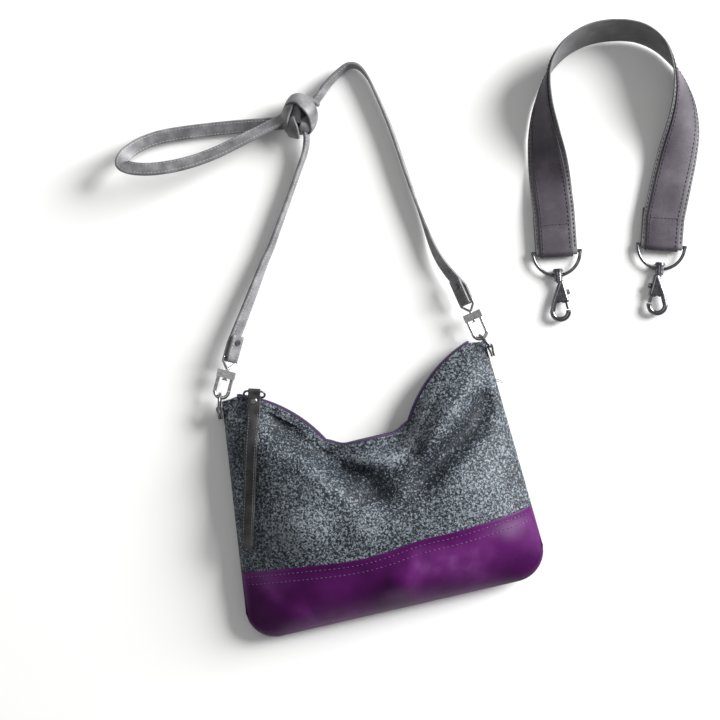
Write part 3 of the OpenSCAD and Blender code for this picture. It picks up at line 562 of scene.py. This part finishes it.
# %% Folds of the front
VALLEYS = [
    ([(-92, 206), (-76, 198), (-56, 167), (-24, 137), (-6, 120), (8, 106), (24, 97)], 11, 12),
    ([(120, 196), (117, 172), (104, 150), (80, 135), (64, 124), (50, 114), (32, 102), (16, 94)], 12, 12),
    ([(-118, 190), (-112, 150), (-117, 110)], 2.5, 12),
    ([(-30, 112), (-4, 108), (20, 92), (30, 74)], 2.6, 8),
]
BULGES = [((-74, 96), 28, 7.5), ((60, 152), 13, 2.0), ((88, 90), 26, 3.5), ((-16, 84), 18, 4.5),
    ((8, 116), 22, -6.5), ((-40, 134), 14, 2.5), ((-12, 62), 9, 1.5)]
BASE_LUMPS = [((4, 26), 11, 4.6), ((-98, 18), 20, 3.2), ((110, 40), 18, 2.6), ((-36, 40), 20, -2.4),
    ((58, 30), 20, -2.6), ((-62, 42), 14, 1.6)]
BASE_CREASES = [([(-8, 54), (-4, 40), (-14, 22)], 1.0, 4), ([(26, 56), (28, 44), (24, 30)], 1.2, 5),
    ([(-112, 40), (-94, 30), (-70, 26)], 0.9, 6), ([(96, 26), (112, 20), (128, 24)], 1.0, 5)]


def folds(s, x, h):
    """How far the folds lift or sink the front, in mm."""
    below = mouth_h(s) - h
    ridge_low = 9 + 9 * bump_at(x - 12, 34)
    ends = smoothstep((0.72 - np.abs(s)) / 0.3)
    lift = (4.6 + 4 * bump_at(x - 10, 36)) * bump_at(below - ridge_low, 6.5) * ends
    for line, depth, width in VALLEYS:
        d, along = to_line(x, h, line)
        lift -= depth * bump_at(d, width) * smoothstep(along / 0.25) * smoothstep((1 - along) / 0.3)
    for (cx, ch), width, height in BULGES:
        lift += height * bump_at(np.hypot(x - cx, (h - ch) * 1.2), width)
    lift += 0.5 * np.sin(x / 9 + h / 17) * np.sin(h / 11 - x / 23)
    edge = (1 - np.abs(s)) * half_w(h)
    return lift * smoothstep(edge / 14) * smoothstep(below / 7) * smoothstep((h - seam_h(s)) / 16)


def base_folds(s, x, h):
    lift = 0.35 * np.sin(x / 13) * np.sin(h / 9 + x / 31)
    for (cx, ch), width, height in BASE_LUMPS:
        lift += height * bump_at(np.hypot((x - cx) * 0.8, h - ch), width)
    for line, depth, width in BASE_CREASES:
        d, along = to_line(x, h, line)
        lift -= depth * bump_at(d, width) * smoothstep(along / 0.3) * smoothstep((1 - along) / 0.3)
    edge = np.minimum((1 - np.abs(s)) * half_w(h), h - corner_drop(s))
    return lift * smoothstep(edge / 14) * smoothstep((seam_h(s) - h) / 10)


def turned_edge(s, h, upper):
    """1 inside the panel, falling to 0 where it turns in to the side and bottom seams."""
    edge = (1 - np.abs(s)) * half_w(h)
    if not upper:
        edge = np.minimum(edge, h - corner_drop(s))
    near = np.clip(edge / 3.0, 0, 1)
    return np.sqrt(1 - (1 - near) ** 2)


def front_z(s, h, upper):
    x = centre_x(h) + s * half_w(h)
    lift = folds(s, x, h) if upper else base_folds(s, x, h)
    top = side_gap(s, h, FRONT_PUFF) + LEATHER
    return SEAM_Z + top * turned_edge(s, h, upper) + lift


def back_z(s, h, upper):
    gap = np.minimum(SEAM_Z - LEATHER, side_gap(s, h, 30)) + LEATHER
    dent = 0.9 * bump_at(np.sin(s * 4 + h / 60), 0.35) * fill(s, h, corner_drop(s))
    return SEAM_Z - gap * turned_edge(s, h, upper) + dent * smoothstep((1 - np.abs(s)) / 0.2)


COLS = 181
EDGE_OVER = 1.6
SMOOTHING = 14
PAINTED_SHADE_PER_MM = 0.013
ROWS = {True: 91, False: 41}


def share_at(grid):
    """Share across the bag, from -1 to 1, of each point of a grid."""
    return (grid[..., 0] - centre_x(grid[..., 1])) / half_w(grid[..., 1])


def panel_grid(surface, upper):
    s = np.sin(np.linspace(-1, 1, COLS) * math.pi / 2) * 0.35 + np.linspace(-1, 1, COLS) * 0.65
    t = np.linspace(0, 1, ROWS[upper])
    s, t = np.meshgrid(s, t)
    x, h = across_at(s, t, upper)
    z = surface(s, h, upper)
    for _ in range(SMOOTHING):
        z[1:-1, 1:-1] = (z[1:-1, :-2] + z[1:-1, 2:] + z[:-2, 1:-1] + z[2:, 1:-1] + 2 * z[1:-1, 1:-1]) / 6
    if upper:
        over_tape = SEAM_Z + mouth_gap(s) + LEATHER + 0.3
        if surface is front_z:
            z = np.where(mouth_h(s) - h < 8, np.maximum(z, over_tape), z)
        h[-1] += EDGE_OVER * smoothstep((1 - np.abs(s[-1])) / 0.15)
    return np.stack([x, h, z], axis=2)


for side, surface, inward in (("front", front_z, (0, 0, -1)), ("back", back_z, (0, 0, 1))):
    grid = panel_grid(surface, True)
    # Painted light and shade: paler where the leather stands above its smooth puffed shape, darker where it sinks
    # into a fold
    wear_and_painted_shade = grid[..., 2] - (SEAM_Z + side_gap(share_at(grid), grid[..., 1], FRONT_PUFF) + LEATHER)
    wear_and_painted_shade = np.clip(wear_and_painted_shade * PAINTED_SHADE_PER_MM, -0.13, 0.08) * smoothstep((1 - np.abs(share_at(grid))) / 0.2)
    add_sheet(side + "_pebbled_leather", grid, LEATHER, crackle, "bag",
        (side + "_upper_panel",), inward, wear_and_painted_shade if side == "front" else None)
    grid = panel_grid(surface, False)
    seam_lip = bump_at((1 - np.linspace(0, 1, ROWS[False]))[:, None] * 60, 5) * 0.9
    grid[..., 2] -= inward[2] * seam_lip * turned_edge(np.linspace(-1, 1, COLS), seam_h(0), True)
    if side == "back":
        grid[..., 2] = np.maximum(grid[..., 2], 0)
    add_sheet(side + "_base_leather", grid, LEATHER, base_leather, "bag",
        (side + "_base_panel",), inward)
print("panels of", COLS, "by", sum(ROWS.values()), "points")

# %% [markdown]
# The lining is a plain cotton bag inside the leather one. It hangs a little loose, so it
# is the leather's own surface moved in by half a millimetre and gently wrinkled, and it
# stops short of the mouth, where the zip tape takes over.

# %% Lining
for side, surface, sign in (("front", front_z, -1), ("back", back_z, 1)):
    s, t = np.meshgrid(np.linspace(-0.975, 0.975, 121), np.linspace(0.035, 1, 71))
    low_x, low_h = centre_x(corner_drop(s)) + s * HALF_BASE, corner_drop(s)
    top_x, top_h = s * HALF_TOP + LEAN, mouth_h(s) - 7
    x, h = low_x + (top_x - low_x) * t, low_h + (top_h - low_h) * t
    on_upper = h > seam_h(s)
    z = np.where(on_upper, surface(s, h, True), surface(s, h, False)) + sign * (LEATHER + 0.5)
    z += sign * (1.3 + 0.35 * np.sin(x / 5 + h / 19) * np.sin(h / 7))
    apart = 0.25 + 0.1 * np.abs(s)
    z = np.maximum(z, SEAM_Z + apart) if side == "front" else np.minimum(z, SEAM_Z - apart)
    add_sheet(side + "_cotton_lining", np.stack([x, h, z], axis=2), 0.25, lining_cloth, "bag",
        (side + "_lining",), (0, 0, sign))
print("lining made")

# %% [markdown]
# A zip is two woven tapes, each with a coil of nylon sewn along its edge. The tape is a
# narrow sheet that follows the mouth, and each turn of the coil is a short rounded bar
# laid across it, 1.5 mm apart, so the teeth are real shapes and not a pattern.

# %% Zip tapes and teeth
TAPE_Z = 3.6
TAPE_T = 0.8
TEETH_LOW = 1.0
TEETH_W = 2.4
TOOTH_PITCH = 1.5
ZIP_END = 0.88


def mouth_line(count=321, end=ZIP_END):
    """Points along the mouth with the direction out of the bag at each."""
    s = np.linspace(-end, end, count)
    line = np.stack([s * HALF_TOP + LEAN, mouth_h(s)], axis=1)
    ahead = unit(np.gradient(line, axis=0))
    return s, line, np.stack([-ahead[:, 1], ahead[:, 0]], axis=1)


def zip_points(offset, depth, sign):
    """Points beside the mouth, at a depth from the middle of the zip."""
    s, line, out = mouth_line()
    flat = line + out * offset
    z = SEAM_Z + sign * (mouth_gap(s) - MOUTH_HALF + depth)
    return np.column_stack([flat, z])


for side, sign in (("front", 1), ("back", -1)):
    levels = np.linspace(-6, TEETH_LOW + TEETH_W, 9)
    tape = np.stack([zip_points(o, TAPE_Z + TAPE_T, sign) for o in levels])
    add_sheet(side + "_woven_zip_tape", tape, TAPE_T * 0.8, zip_tape, "bag",
        (side + "_zip_tape",), (0, 0, -sign))
    row = zip_points(TEETH_LOW + TEETH_W / 2, TAPE_Z - 0.75, sign)
    root = zip_points(TEETH_LOW, TAPE_Z - 0.75, sign)
    spots = march(np.column_stack([row, row - root]), TOOTH_PITCH)[1]
    teeth = add_stitches(side + "_coil_teeth", [(p[:3], p[3:], (0, 0, 1)) for p in spots], coil_nylon,
        "bag", length=TEETH_W + 0.6, radius=0.62)
    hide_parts(side + "_zip_teeth")
for name in ("zip_start_stop", "zip_end_stop"):
    nodes[name].data.materials.clear()
    nodes[name].data.materials.append(gunmetal)
print("teeth on each side", len(spots))

# %% [markdown]
# Two rows of lilac thread hold the base to the upper leather. Each stitch is a short
# rounded capsule sunk half into the leather, at the real pitch of the sewing.

# %% Stitches on the base
STITCH_PITCH = 4.2
STITCH_ROWS = (4.6, 11.5)


def surface_row(surface, drop, sign):
    """Points and normals of a stitch row on the base, a distance below the seam."""
    s = np.linspace(-0.97, 0.97, 240)
    h = seam_h(s) - drop
    line = np.stack([centre_x(h) + s * half_w(h), h, surface(s, h, False)], axis=1)
    along = line[2:] - line[:-2]
    above = h + 0.5
    up = np.stack([centre_x(above) + s * half_w(above), above, surface(s, above, False)], axis=1) - line
    out = unit(np.cross(along, up[1:-1])) * sign
    out *= np.sign(out[:, 2:3]) * sign
    lip = 0.9 * math.exp(-(drop / 5) ** 2)
    line = line[1:-1] + out * (0.12 + lip)
    return np.column_stack([line, out])


for side, surface, sign in (("front", front_z, 1), ("back", back_z, -1)):
    places = []
    for drop in STITCH_ROWS:
        _, points, ways = march(surface_row(surface, drop, sign), STITCH_PITCH)
        places += [(p[:3], w[:3], p[3:]) for p, w in zip(points, ways)]
    add_stitches(side + "_base_stitches", places, pale_thread, "bag", 2.0, 0.34)
print("stitches on each side", len(places))

# %% [markdown]
# A leather strap has flat faces and slicked, rounded edges. Each strap is a rounded
# outline swept along its route. The routes of the crossbody strap repeat the points of
# the CAD model: place, height above the resting plane, and the tilt of the strap away
# from standing on edge.

# %% Strap helper
def spline_route(points, per_span):
    """A smooth curve through the points, by the Catmull-Rom rule."""
    p = np.array(points, float)
    padded = np.vstack([p[0], p, p[-1]])
    out = []
    for k in range(len(p) - 1):
        a, b, c, d = padded[k:k + 4]
        for t in np.arange(per_span) / per_span:
            out.append(0.5 * (2 * b + (c - a) * t + (2 * a - 5 * b + 4 * c - d) * t * t
                + (3 * b - a - 3 * c + d) * t ** 3))
    return np.array(out + [p[-1]])


def path_ways(path):
    ahead = np.gradient(path, axis=0)
    return unit(ahead)


def tilt_frames(route):
    """Centre, direction across and direction out of the face at each place of a tilted route."""
    centre = route[:, :3]
    ahead = path_ways(centre)
    side = unit(np.cross(ahead, [0, 0, 1]))
    tilt = np.radians(route[:, 3:4])
    wide = np.cos(tilt) * np.cross(side, ahead) + np.sin(tilt) * side
    return centre, wide, np.cross(wide, ahead)


def strap_outline(width, low, high, corner=0.55, dome=0.0):
    """Outline of a strap's section, across and out of the face, with rounded edges."""
    r = min(corner, (high - low) / 2.05)
    points = []
    for cx, cy, start in ((1, 1, 90), (1, -1, 0), (-1, -1, -90), (-1, 1, 180)):
        corner_x, corner_y = cx * (width / 2 - r), (high - r) if cy > 0 else (low + r)
        for k in range(4):
            a = math.radians(start - 30 * k)
            points.append((corner_x + r * math.cos(a), corner_y + r * math.sin(a)))
    middle = [(x, high + dome) for x in (-width / 6, 0, width / 6)]
    points = points[:8] + [(x, low) for x in (width / 6, 0, -width / 6)] + points[8:] + middle
    return np.array(points)


def add_strap(name, frames, outline, material, body, replaced=(), widths=None):
    """Sweep a section along frames of (centre, across, out), with rounded-in ends."""
    centre, wide, out = frames
    n, m = len(centre), len(outline)
    scale = np.ones(n) if widths is None else np.asarray(widths)
    rings = [centre[k] + outline[:, :1] * scale[k] * wide[k] + outline[:, 1:] * out[k] for k in range(n)]
    middle = outline.mean(axis=0)
    caps = []
    for k in (0, n - 1):
        caps.append(centre[k] + middle[1] * out[k] + (rings[k] - centre[k] - middle[1] * out[k]) * 0.9)
    rings = [caps[0] + (centre[0] - centre[1]) * 0.0 - unit(centre[1] - centre[0]) * 0.3] + rings
    rings += [caps[1] + unit(centre[-1] - centre[-2]) * 0.3]
    verts = np.concatenate(rings)
    faces = grid_faces(n + 2, m, closed=True)
    for base in (0, (n + 1) * m):
        faces.append(tuple(base + k for k in range(m)))
    return new_piece(name, to_frame(verts), faces, material, body, replaced)


def strap_stitches(frames, offset, out_mm, pitch, trim=(0.0, 1.0)):
    """Stitch places along a strap at a distance across from its middle."""
    centre, wide, out = frames
    line = np.column_stack([centre + wide * offset + out * out_mm, out])
    shares, points, ways = march(line, pitch)
    return [(p[:3], w[:3], p[3:]) for s, p, w in zip(shares, points, ways) if trim[0] <= s <= trim[1]]


print("strap helpers ready")

# %% Crossbody strap
STRAP_W = 12.7
STRAP_T = 2.6
EYE_WIRE = 1.1
EYE_BAR_AT = 37.5
EYE_TURN = math.radians(45)
TAIL = 21
WRAP_R = EYE_WIRE + 0.3 + STRAP_T / 2
LEFT_ROUTE = [(-73, 300, 11, -38), (-56, 328, 8, -26), (-41, 348, 7, -18), (-26, 371, 6.8, -13),
    (-13, 391, 6.8, -11), (-1, 410, 7, -11), (9, 426, 9, -14), (14, 440, 12, -20), (13, 450, 13, -26)]
RIGHT_ROUTE = [(21, 463, 14, 28), (33, 472, 12, 24), (44, 482, 9, 20), (56, 490, 7, 17),
    (65, 494, 6.8, 13), (73, 492, 6.8, 8), (78, 485, 6.8, 2), (82, 474, 6.8, -5),
    (87, 450, 6.8, -9), (91, 425, 6.8, -10), (94, 396, 6.8, -10), (97, 367, 6.8, -8),
    (100, 341, 7, 2), (103, 316, 8, 18), (106, 292, 11, 34)]
LOOP_ROUTE = [(-2, 456, 7, 50), (-36, 461, 7, 62), (-74, 466, 7, 66), (-110, 469, 8, 66),
    (-132, 467, 11, 66), (-147, 461, 17, 66), (-154, 454, 24, 66), (-153, 448, 29, 66),
    (-142, 442, 33, 66), (-124, 438, 34, 66), (-100, 437, 33, 64), (-74, 440, 29, 62),
    (-46, 447, 23, 58), (-18, 455, 17, 54), (0, 460, 14, 50)]


def from_frame(point):
    """Metres in the frame to millimetres with height above the bottom seam."""
    return np.array([point[0] * MM, (point[1] - BASE_Y) * MM, point[2] * MM])


def strap_end(side):
    """The folded end of the strap: tail tip, down to the clip's eye, round its bar and back up."""
    joint = joints[side + "_clip_swivel"]
    way = np.array(joint["axis"])
    sign = -1 if side == "left" else 1
    bar = from_frame(joint["pos_m"]) + way * EYE_BAR_AT
    level = np.array([way[1], -way[0], 0])
    wide = math.cos(EYE_TURN) * level + sign * math.sin(EYE_TURN) * np.array([0, 0, 1])
    face = np.cross(wide, way)
    face *= np.sign(face[2])
    wide *= np.sign(wide[2])
    path = [bar + face * WRAP_R + way * t for t in np.linspace(TAIL, 0, 8)]
    path += [bar + WRAP_R * (face * math.cos(a) - way * math.sin(a))
        for a in np.radians(np.arange(15, 180, 15))]
    path += [bar - face * WRAP_R + way * t for t in np.linspace(0, TAIL, 6)]
    return np.array(path), wide


def run_frames(side, route):
    """Frames of one run: the folded end, then a smooth way to the first route point."""
    path, wide = strap_end(side)
    mid = spline_route(route, 8)
    centre, across, _ = tilt_frames(mid)
    centre = np.vstack([path, centre])
    across = np.vstack([np.tile(wide, (len(path), 1)), across])
    # Soften the turn from the end into the route
    first, last = len(path) - 3, len(path) + 12
    for _ in range(30):
        before, here, after = slice(first, last - 1), slice(first + 1, last), slice(first + 2, last + 1)
        centre[here] = (centre[before] + centre[here] + centre[after]) / 3
        across[here] = unit(across[before] + across[here] + across[after])
    ahead = path_ways(centre)
    across = unit(across - (across * ahead).sum(axis=1, keepdims=True) * ahead)
    return centre, across, np.cross(across, ahead)


section = strap_outline(STRAP_W, -STRAP_T / 2, STRAP_T / 2, corner=0.8)
crossbody_frames = {"left_strap_run": run_frames("left", LEFT_ROUTE),
    "right_strap_run": run_frames("right", RIGHT_ROUTE[::-1]),
    "strap_loop": tilt_frames(spline_route(LOOP_ROUTE, 8))}
for name, frames in crossbody_frames.items():
    add_strap(name.replace("strap_", "leather_strap_") if "run" in name else "leather_strap_loop", frames,
        section, grey_strap, "crossbody", (name,))
    places = []
    for edge_side in (-1, 1):
        for face_side in (-1, 1):
            places += strap_stitches(frames, edge_side * (STRAP_W / 2 - 1.9), face_side * STRAP_T / 2, 3.2)
    add_stitches(name + "_stitches", places, grey_thread, "crossbody", 2.2, 0.22)
lengths = {n: np.linalg.norm(np.diff(f[0], axis=0), axis=1).sum() for n, f in crossbody_frames.items()}
print("strap lengths in mm", {n: round(v) for n, v in lengths.items()})

# %% [markdown]
# The knot is an overhand knot in the doubled strap. A true knot could be swept along its
# whole path, but only its outer wraps are seen, so each visible wrap is a short strap
# bent round a dark core, where one goes over the other. The core's near-black colour is
# painted shade, for the shadow deep inside the knot.

# %% Knot
KNOT = np.array([12, 458, 13.4])


def knot_place(right, up, out):
    """A place in the knot: across and along the view's own upright, and out of the plane."""
    roll = -VIEW_ROLL
    x = math.cos(roll) * right + math.sin(roll) * up
    y = -math.sin(roll) * right + math.cos(roll) * up
    return KNOT + np.array([x, y, out])


core = bmesh.new()
bmesh.ops.create_icosphere(core, subdivisions=4, radius=1)
for v in core.verts:
    ripple = 1 + 0.05 * math.sin(v.co.x * 7 + v.co.y * 3) * math.cos(v.co.z * 5)
    v.co = Vector(to_frame(knot_place(v.co.x * 9.6 * ripple, v.co.y * 12.2 * ripple, v.co.z * 9.4)))
core_mesh = bpy.data.meshes.new("knot_core")
core.to_mesh(core_mesh)
core.free()
core_mesh.polygons.foreach_set("use_smooth", [True] * len(core_mesh.polygons))
core_mesh.materials.append(knot_shade)
knot_core = bpy.data.objects.new("knot_core", core_mesh)
scene.collection.objects.link(knot_core)
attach(knot_core, "crossbody")
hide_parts("strap_knot")

WRAPS = {
    # Places right, up and out from the middle of the knot, and the width of the strap there
    "over_wrap": [(-12, 1, -7, 11), (-13, 8, -1, 12), (-9, 14, 6, 13), (-1, 14.5, 11, 14),
        (6, 9, 13.5, 14.5),
        (11, 2, 12, 14), (12.5, -6, 6, 12.5), (11, -11, -2, 11), (6, -12, -8, 10)],
    "left_wrap": [(-4, 15, 3, 9), (-8, 11, 8, 10), (-11, 5, 9.5, 11), (-13.5, -2, 8, 11.5),
        (-14, -9, 3, 11),
        (-11, -14, -3, 10), (-6, -15, -8, 9)],
    "inner_wrap": [(-6, 9, 8, 8), (-4, 4, 9.5, 8.5), (-3, -1, 9.5, 9), (-4, -6, 8, 9)],
    "under_wrap": [(15, 15, -6, 9), (14, 13, 1, 10), (10, 15, 5, 10), (3, 17, 3, 9), (-3, 16, -4, 8)],
    "low_wrap": [(2, -2, 6, 9), (5, -7, 9, 10), (4, -12, 7, 11), (0, -15, 0, 10), (-3, -14, -7, 9)],
    "fold_flap": [(-7, -2, 9.5, 5), (-7, -6, 10.5, 7.5), (-6.5, -11, 10, 11), (-6, -16, 7.5, 12.5),
        (-5.5, -19.5, 4.5, 12)],
}
for name, points in WRAPS.items():
    rows = spline_route(points, 8)
    centre = np.array([knot_place(*row[:3]) for row in rows])
    widths = rows[:, 3] / STRAP_W
    ahead = path_ways(centre)
    out = centre - (KNOT + (centre - KNOT) * [0, 0.35, 0])
    out = unit(out - (out * ahead).sum(axis=1, keepdims=True) * ahead)
    add_strap("knot_" + name, (centre, np.cross(ahead, out), out),
        strap_outline(STRAP_W, -1.2, 1.2, corner=0.8, dome=0.5), grey_strap, "crossbody",
        widths=widths)
print("knot wraps", len(WRAPS))

# %% [markdown]
# The zip pull is two layers of dark leather sewn together. The front layer folds over the
# upper bar of the ring and its short tail lies behind, held by the rivet. The strip hangs
# down the front and rests on it, so its height is the leather's own height below it.

# %% Zip pull
PULL_W = 11
PULL_LEN = 142
PULL_LAYER = 1.3
PULL_OVER = 1.0
pull_axis = np.array(joints["pull_swing"]["axis"])
pull_axis *= np.sign(pull_axis[0])
pull_down = np.array([pull_axis[1], -pull_axis[0], 0])
pull_bar = from_frame(joints["pull_swing"]["pos_m"])


def front_height(x, h):
    """Highest place of the front leather at a point."""
    return front_z(np.clip((x - centre_x(h)) / half_w(h), -1, 1), h, True)


def pull_frames(reach, offset):
    """Frames of one layer hanging from the bar, an offset above the middle of the pull."""
    middle = pull_bar + pull_down * reach[:, None]
    heights = [front_height(middle[:, 0] + k * pull_axis[0], middle[:, 1] + k * pull_axis[1])
        for k in np.linspace(-PULL_W / 2, PULL_W / 2, 5)]
    share = smoothstep((reach - 12) / 26)
    rest = np.max(heights, axis=0) + PULL_OVER + PULL_LAYER
    rest = np.convolve(np.pad(rest, 4, "edge"), np.ones(9) / 9, "valid")
    middle[:, 2] += (rest - middle[:, 2]) * share
    rise = (heights[0] - heights[-1]) * share * 0.5
    wide = unit(-pull_axis * PULL_W + np.outer(rise, [0, 0, 1]))
    out = unit(np.cross(wide, path_ways(middle)))
    return middle + out * offset, wide, out


reach = np.linspace(2, PULL_LEN, 90)
front_frames = pull_frames(reach, PULL_LAYER / 2)
tail = [pull_bar + pull_down * t - np.array([0, 0, PULL_LAYER / 2]) for t in np.linspace(15, 3, 7)]
turn = [pull_bar + 1.85 * (-pull_down * math.sin(a) - np.array([0, 0, math.cos(a)]))
    for a in np.radians(np.arange(0, 181, 20))]
centre = np.vstack([tail, turn, front_frames[0]])
wide = np.vstack([np.tile(-pull_axis, (len(tail) + len(turn), 1)), front_frames[1]])
out = unit(np.cross(wide, path_ways(centre)))
tip = np.sqrt(np.clip((PULL_LEN + 0.4 - reach) / 2.2, 0.25, 1))
add_strap("pull_front_leather", (centre, wide, out),
    strap_outline(PULL_W, -PULL_LAYER / 2, PULL_LAYER / 2, corner=0.5, dome=0.05), dark_strap, "pull",
    ("zip_pull_strap",), np.concatenate([np.ones(len(tail) + len(turn)), tip]))
behind = reach > 17
add_strap("pull_back_leather", [f[behind] for f in pull_frames(reach, -PULL_LAYER / 2)],
    strap_outline(PULL_W, -PULL_LAYER / 2, PULL_LAYER / 2, corner=0.5), dark_strap, "pull",
    widths=tip[behind])
PULL_ROW = 3.9
places = [p for row in (PULL_ROW, -PULL_ROW)
    for p in strap_stitches(front_frames, row, PULL_LAYER / 2 + 0.05, 3.0, (0.12, 0.985))]
add_stitches("pull_stitches", places, pull_thread, "pull", 2.1, 0.2)
print("pull hangs", PULL_LEN, "mm, with", len(places), "stitches")

# %% [markdown]
# A short strap holds each ring at the top of a side seam. It goes up beside the seam,
# round the ring's bar and down again, and its two ends are sewn into the bag.

# %% Ring tabs
TAB_W = 10.7
TAB_T = 1.3
TAB_LEN = 9
TAB_TURN = 1.95
side_lean = math.atan2(HALF_BASE - HALF_TOP, BAG_H - CORNER_R)
for side, sign in (("left", -1), ("right", 1)):
    bar = from_frame(joints[side + "_ring_turn"]["pos_m"])
    down = np.array([sign * math.sin(side_lean), -math.cos(side_lean), 0])
    outer = np.array([-down[1], down[0], 0]) * sign
    legs = np.linspace(TAB_LEN, 0.8, 10)
    turns = np.radians(np.arange(0, 181, 15))
    path = [bar - outer * (TAB_TURN - 0.9 * smoothstep(t / 6)) + down * t for t in legs]
    path += [bar + TAB_TURN * (-outer * math.cos(a) - down * math.sin(a)) for a in turns]
    legs = np.linspace(0.8, TAB_LEN, 10)
    path += [bar + outer * (TAB_TURN - 0.9 * smoothstep(t / 6)) + down * t for t in legs]
    path = np.array(path)
    wide = np.tile([0.0, 0.0, 1.0], (len(path), 1))
    flare = 1 - 0.06 * np.sin(np.linspace(0, math.pi, len(path)))
    add_strap(side + "_tab_leather", (path, wide, np.cross(wide, path_ways(path))),
        strap_outline(TAB_W, -TAB_T / 2, TAB_T / 2, corner=0.5, dome=0.2), dark_strap, "bag",
        (side + "_ring_tab",), flare)
print("tabs made")

# %% [markdown]
# The shoulder strap is a wide grey lining with a narrower mauve face sewn onto it. Both
# run the whole way: from the stub under one end, round the bar of the snap's eye, over the
# arch, and round the other bar. The arch stands on edge on both sides and tips over at its
# top, as a limp strap does when it is laid in a loop.

# %% Shoulder strap
HANDLE_W = 38
FACE_W = 30
LAYER = 1.6
FOLD_R = 3.3
STUB = 34
ARCH_ROUTE = [(219, 324, 8.2, 89), (221, 344, 7.6, 84), (223, 368, 10.6, 64), (225, 394, 15.6, 42),
    (230, 421, 19.2, 18), (241, 446, 19.8, -4), (259, 463, 19.8, -15),
    (282, 471, 19.6, -20), (307, 470, 19.6, -20), (330, 462, 19.8, -16),
    (346, 446, 19.8, -6), (354, 423, 19.6, 14), (356, 398, 16.8, 38), (351, 371, 11.4, 62),
    (340, 345, 7.8, 82), (328, 320, 7.8, 89)]


def handle_end(side):
    """Path from the stub under an end, round the bar, to the top, and its direction across."""
    joint = joints[side + "_eye_tip"]
    bar = from_frame(joint["pos_m"])
    level = np.array(joint["axis"], float)
    level[2] = 0
    level = unit(level) * np.sign(level[0])
    way = np.array([-level[1], level[0], 0])
    up = np.array([0, 0, 1.0])
    path = [bar + way * t - up * FOLD_R for t in np.linspace(STUB, 1, 12)]
    turns = np.radians(np.arange(-90, 91, 15))
    path += [bar + FOLD_R * (-way * math.cos(a) + up * math.sin(a)) for a in turns]
    path += [bar + way * t + up * FOLD_R for t in (2, 5, 9, 14, 19, 25)]
    return np.array(path), level


def handle_frames():
    left, left_level = handle_end("left")
    right, right_level = handle_end("right")
    route = spline_route([(*left[-1], 90)] + ARCH_ROUTE + [(*right[-1], 90)], 10)[1:-1]
    centre, wide, _ = tilt_frames(route)
    centre = np.vstack([left, centre, right[::-1]])
    wide = np.vstack([np.tile(left_level, (len(left), 1)), wide, np.tile(-right_level, (len(right), 1))])
    first, last = len(left) - 3, len(centre) - len(right) + 3
    for _ in range(12):
        wide[first:last] = unit(wide[first - 1:last - 1] + wide[first:last] + wide[first + 1:last + 1])
    ahead = path_ways(centre)
    wide = unit(wide - (wide * ahead).sum(axis=1, keepdims=True) * ahead)
    return centre, wide, np.cross(wide, ahead)


frames = handle_frames()
add_strap("handle_face_leather", frames, strap_outline(FACE_W, 0.05, LAYER, corner=0.6), mauve_leather,
    "shoulder_strap", ("handle_face", "left_handle_fold", "right_handle_fold"))
add_strap("handle_lining_leather", frames,
    strap_outline(HANDLE_W, -LAYER, -0.05, corner=0.6), lining_leather,
    "shoulder_strap", ("handle_lining",))
places = []
for row in (-1, 1):
    places += strap_stitches(frames, row * (FACE_W / 2 - 2.4), LAYER + 0.1, 4.0, (0.085, 0.915))
    places += strap_stitches(frames, row * (HANDLE_W / 2 - 1.8), 0.05, 4.0, (0.085, 0.915))
add_stitches("handle_stitches", places, black_thread, "shoulder_strap", 2.8, 0.42)
for side in ("left", "right"):
    path, level = handle_end(side)
    row = [path[-1] + level * x + np.array([0, 0, LAYER + 0.05])
        for x in (-FACE_W / 2 + 2, FACE_W / 2 - 2)]
    places = [(p, w, (0, 0, 1)) for p, w in zip(*march(row, 3.2)[1:])]
    add_stitches(side + "_cross_stitches", places, black_thread, "shoulder_strap",
        2.6, 0.42)
span = np.linalg.norm(np.diff(frames[0], axis=0), axis=1).sum()
print("shoulder strap path", round(span), "mm")

# %% [markdown]
# Two loose thread ends stick out of the right side seam, where the sewing was knotted off.

# %% Thread ends
SEAM_POINT = np.array([130, 184, 14])
for k, bend in enumerate((0.5, -0.2)):
    steps = np.linspace(0, 1, 12)[:, None]
    line = SEAM_POINT + steps * [7.5, -2.5 - 2 * k, -1] + np.sin(steps * 4) * [0.3, 1.6 * bend, 0.6]
    wide = np.tile([0.0, 0.0, 1.0], (len(line), 1))
    add_strap("seam_thread_end_" + str(k + 1), (line, wide, np.cross(wide, path_ways(line))),
        strap_outline(0.5, -0.25, 0.25, corner=0.2), black_thread, "bag")
print("thread ends made")
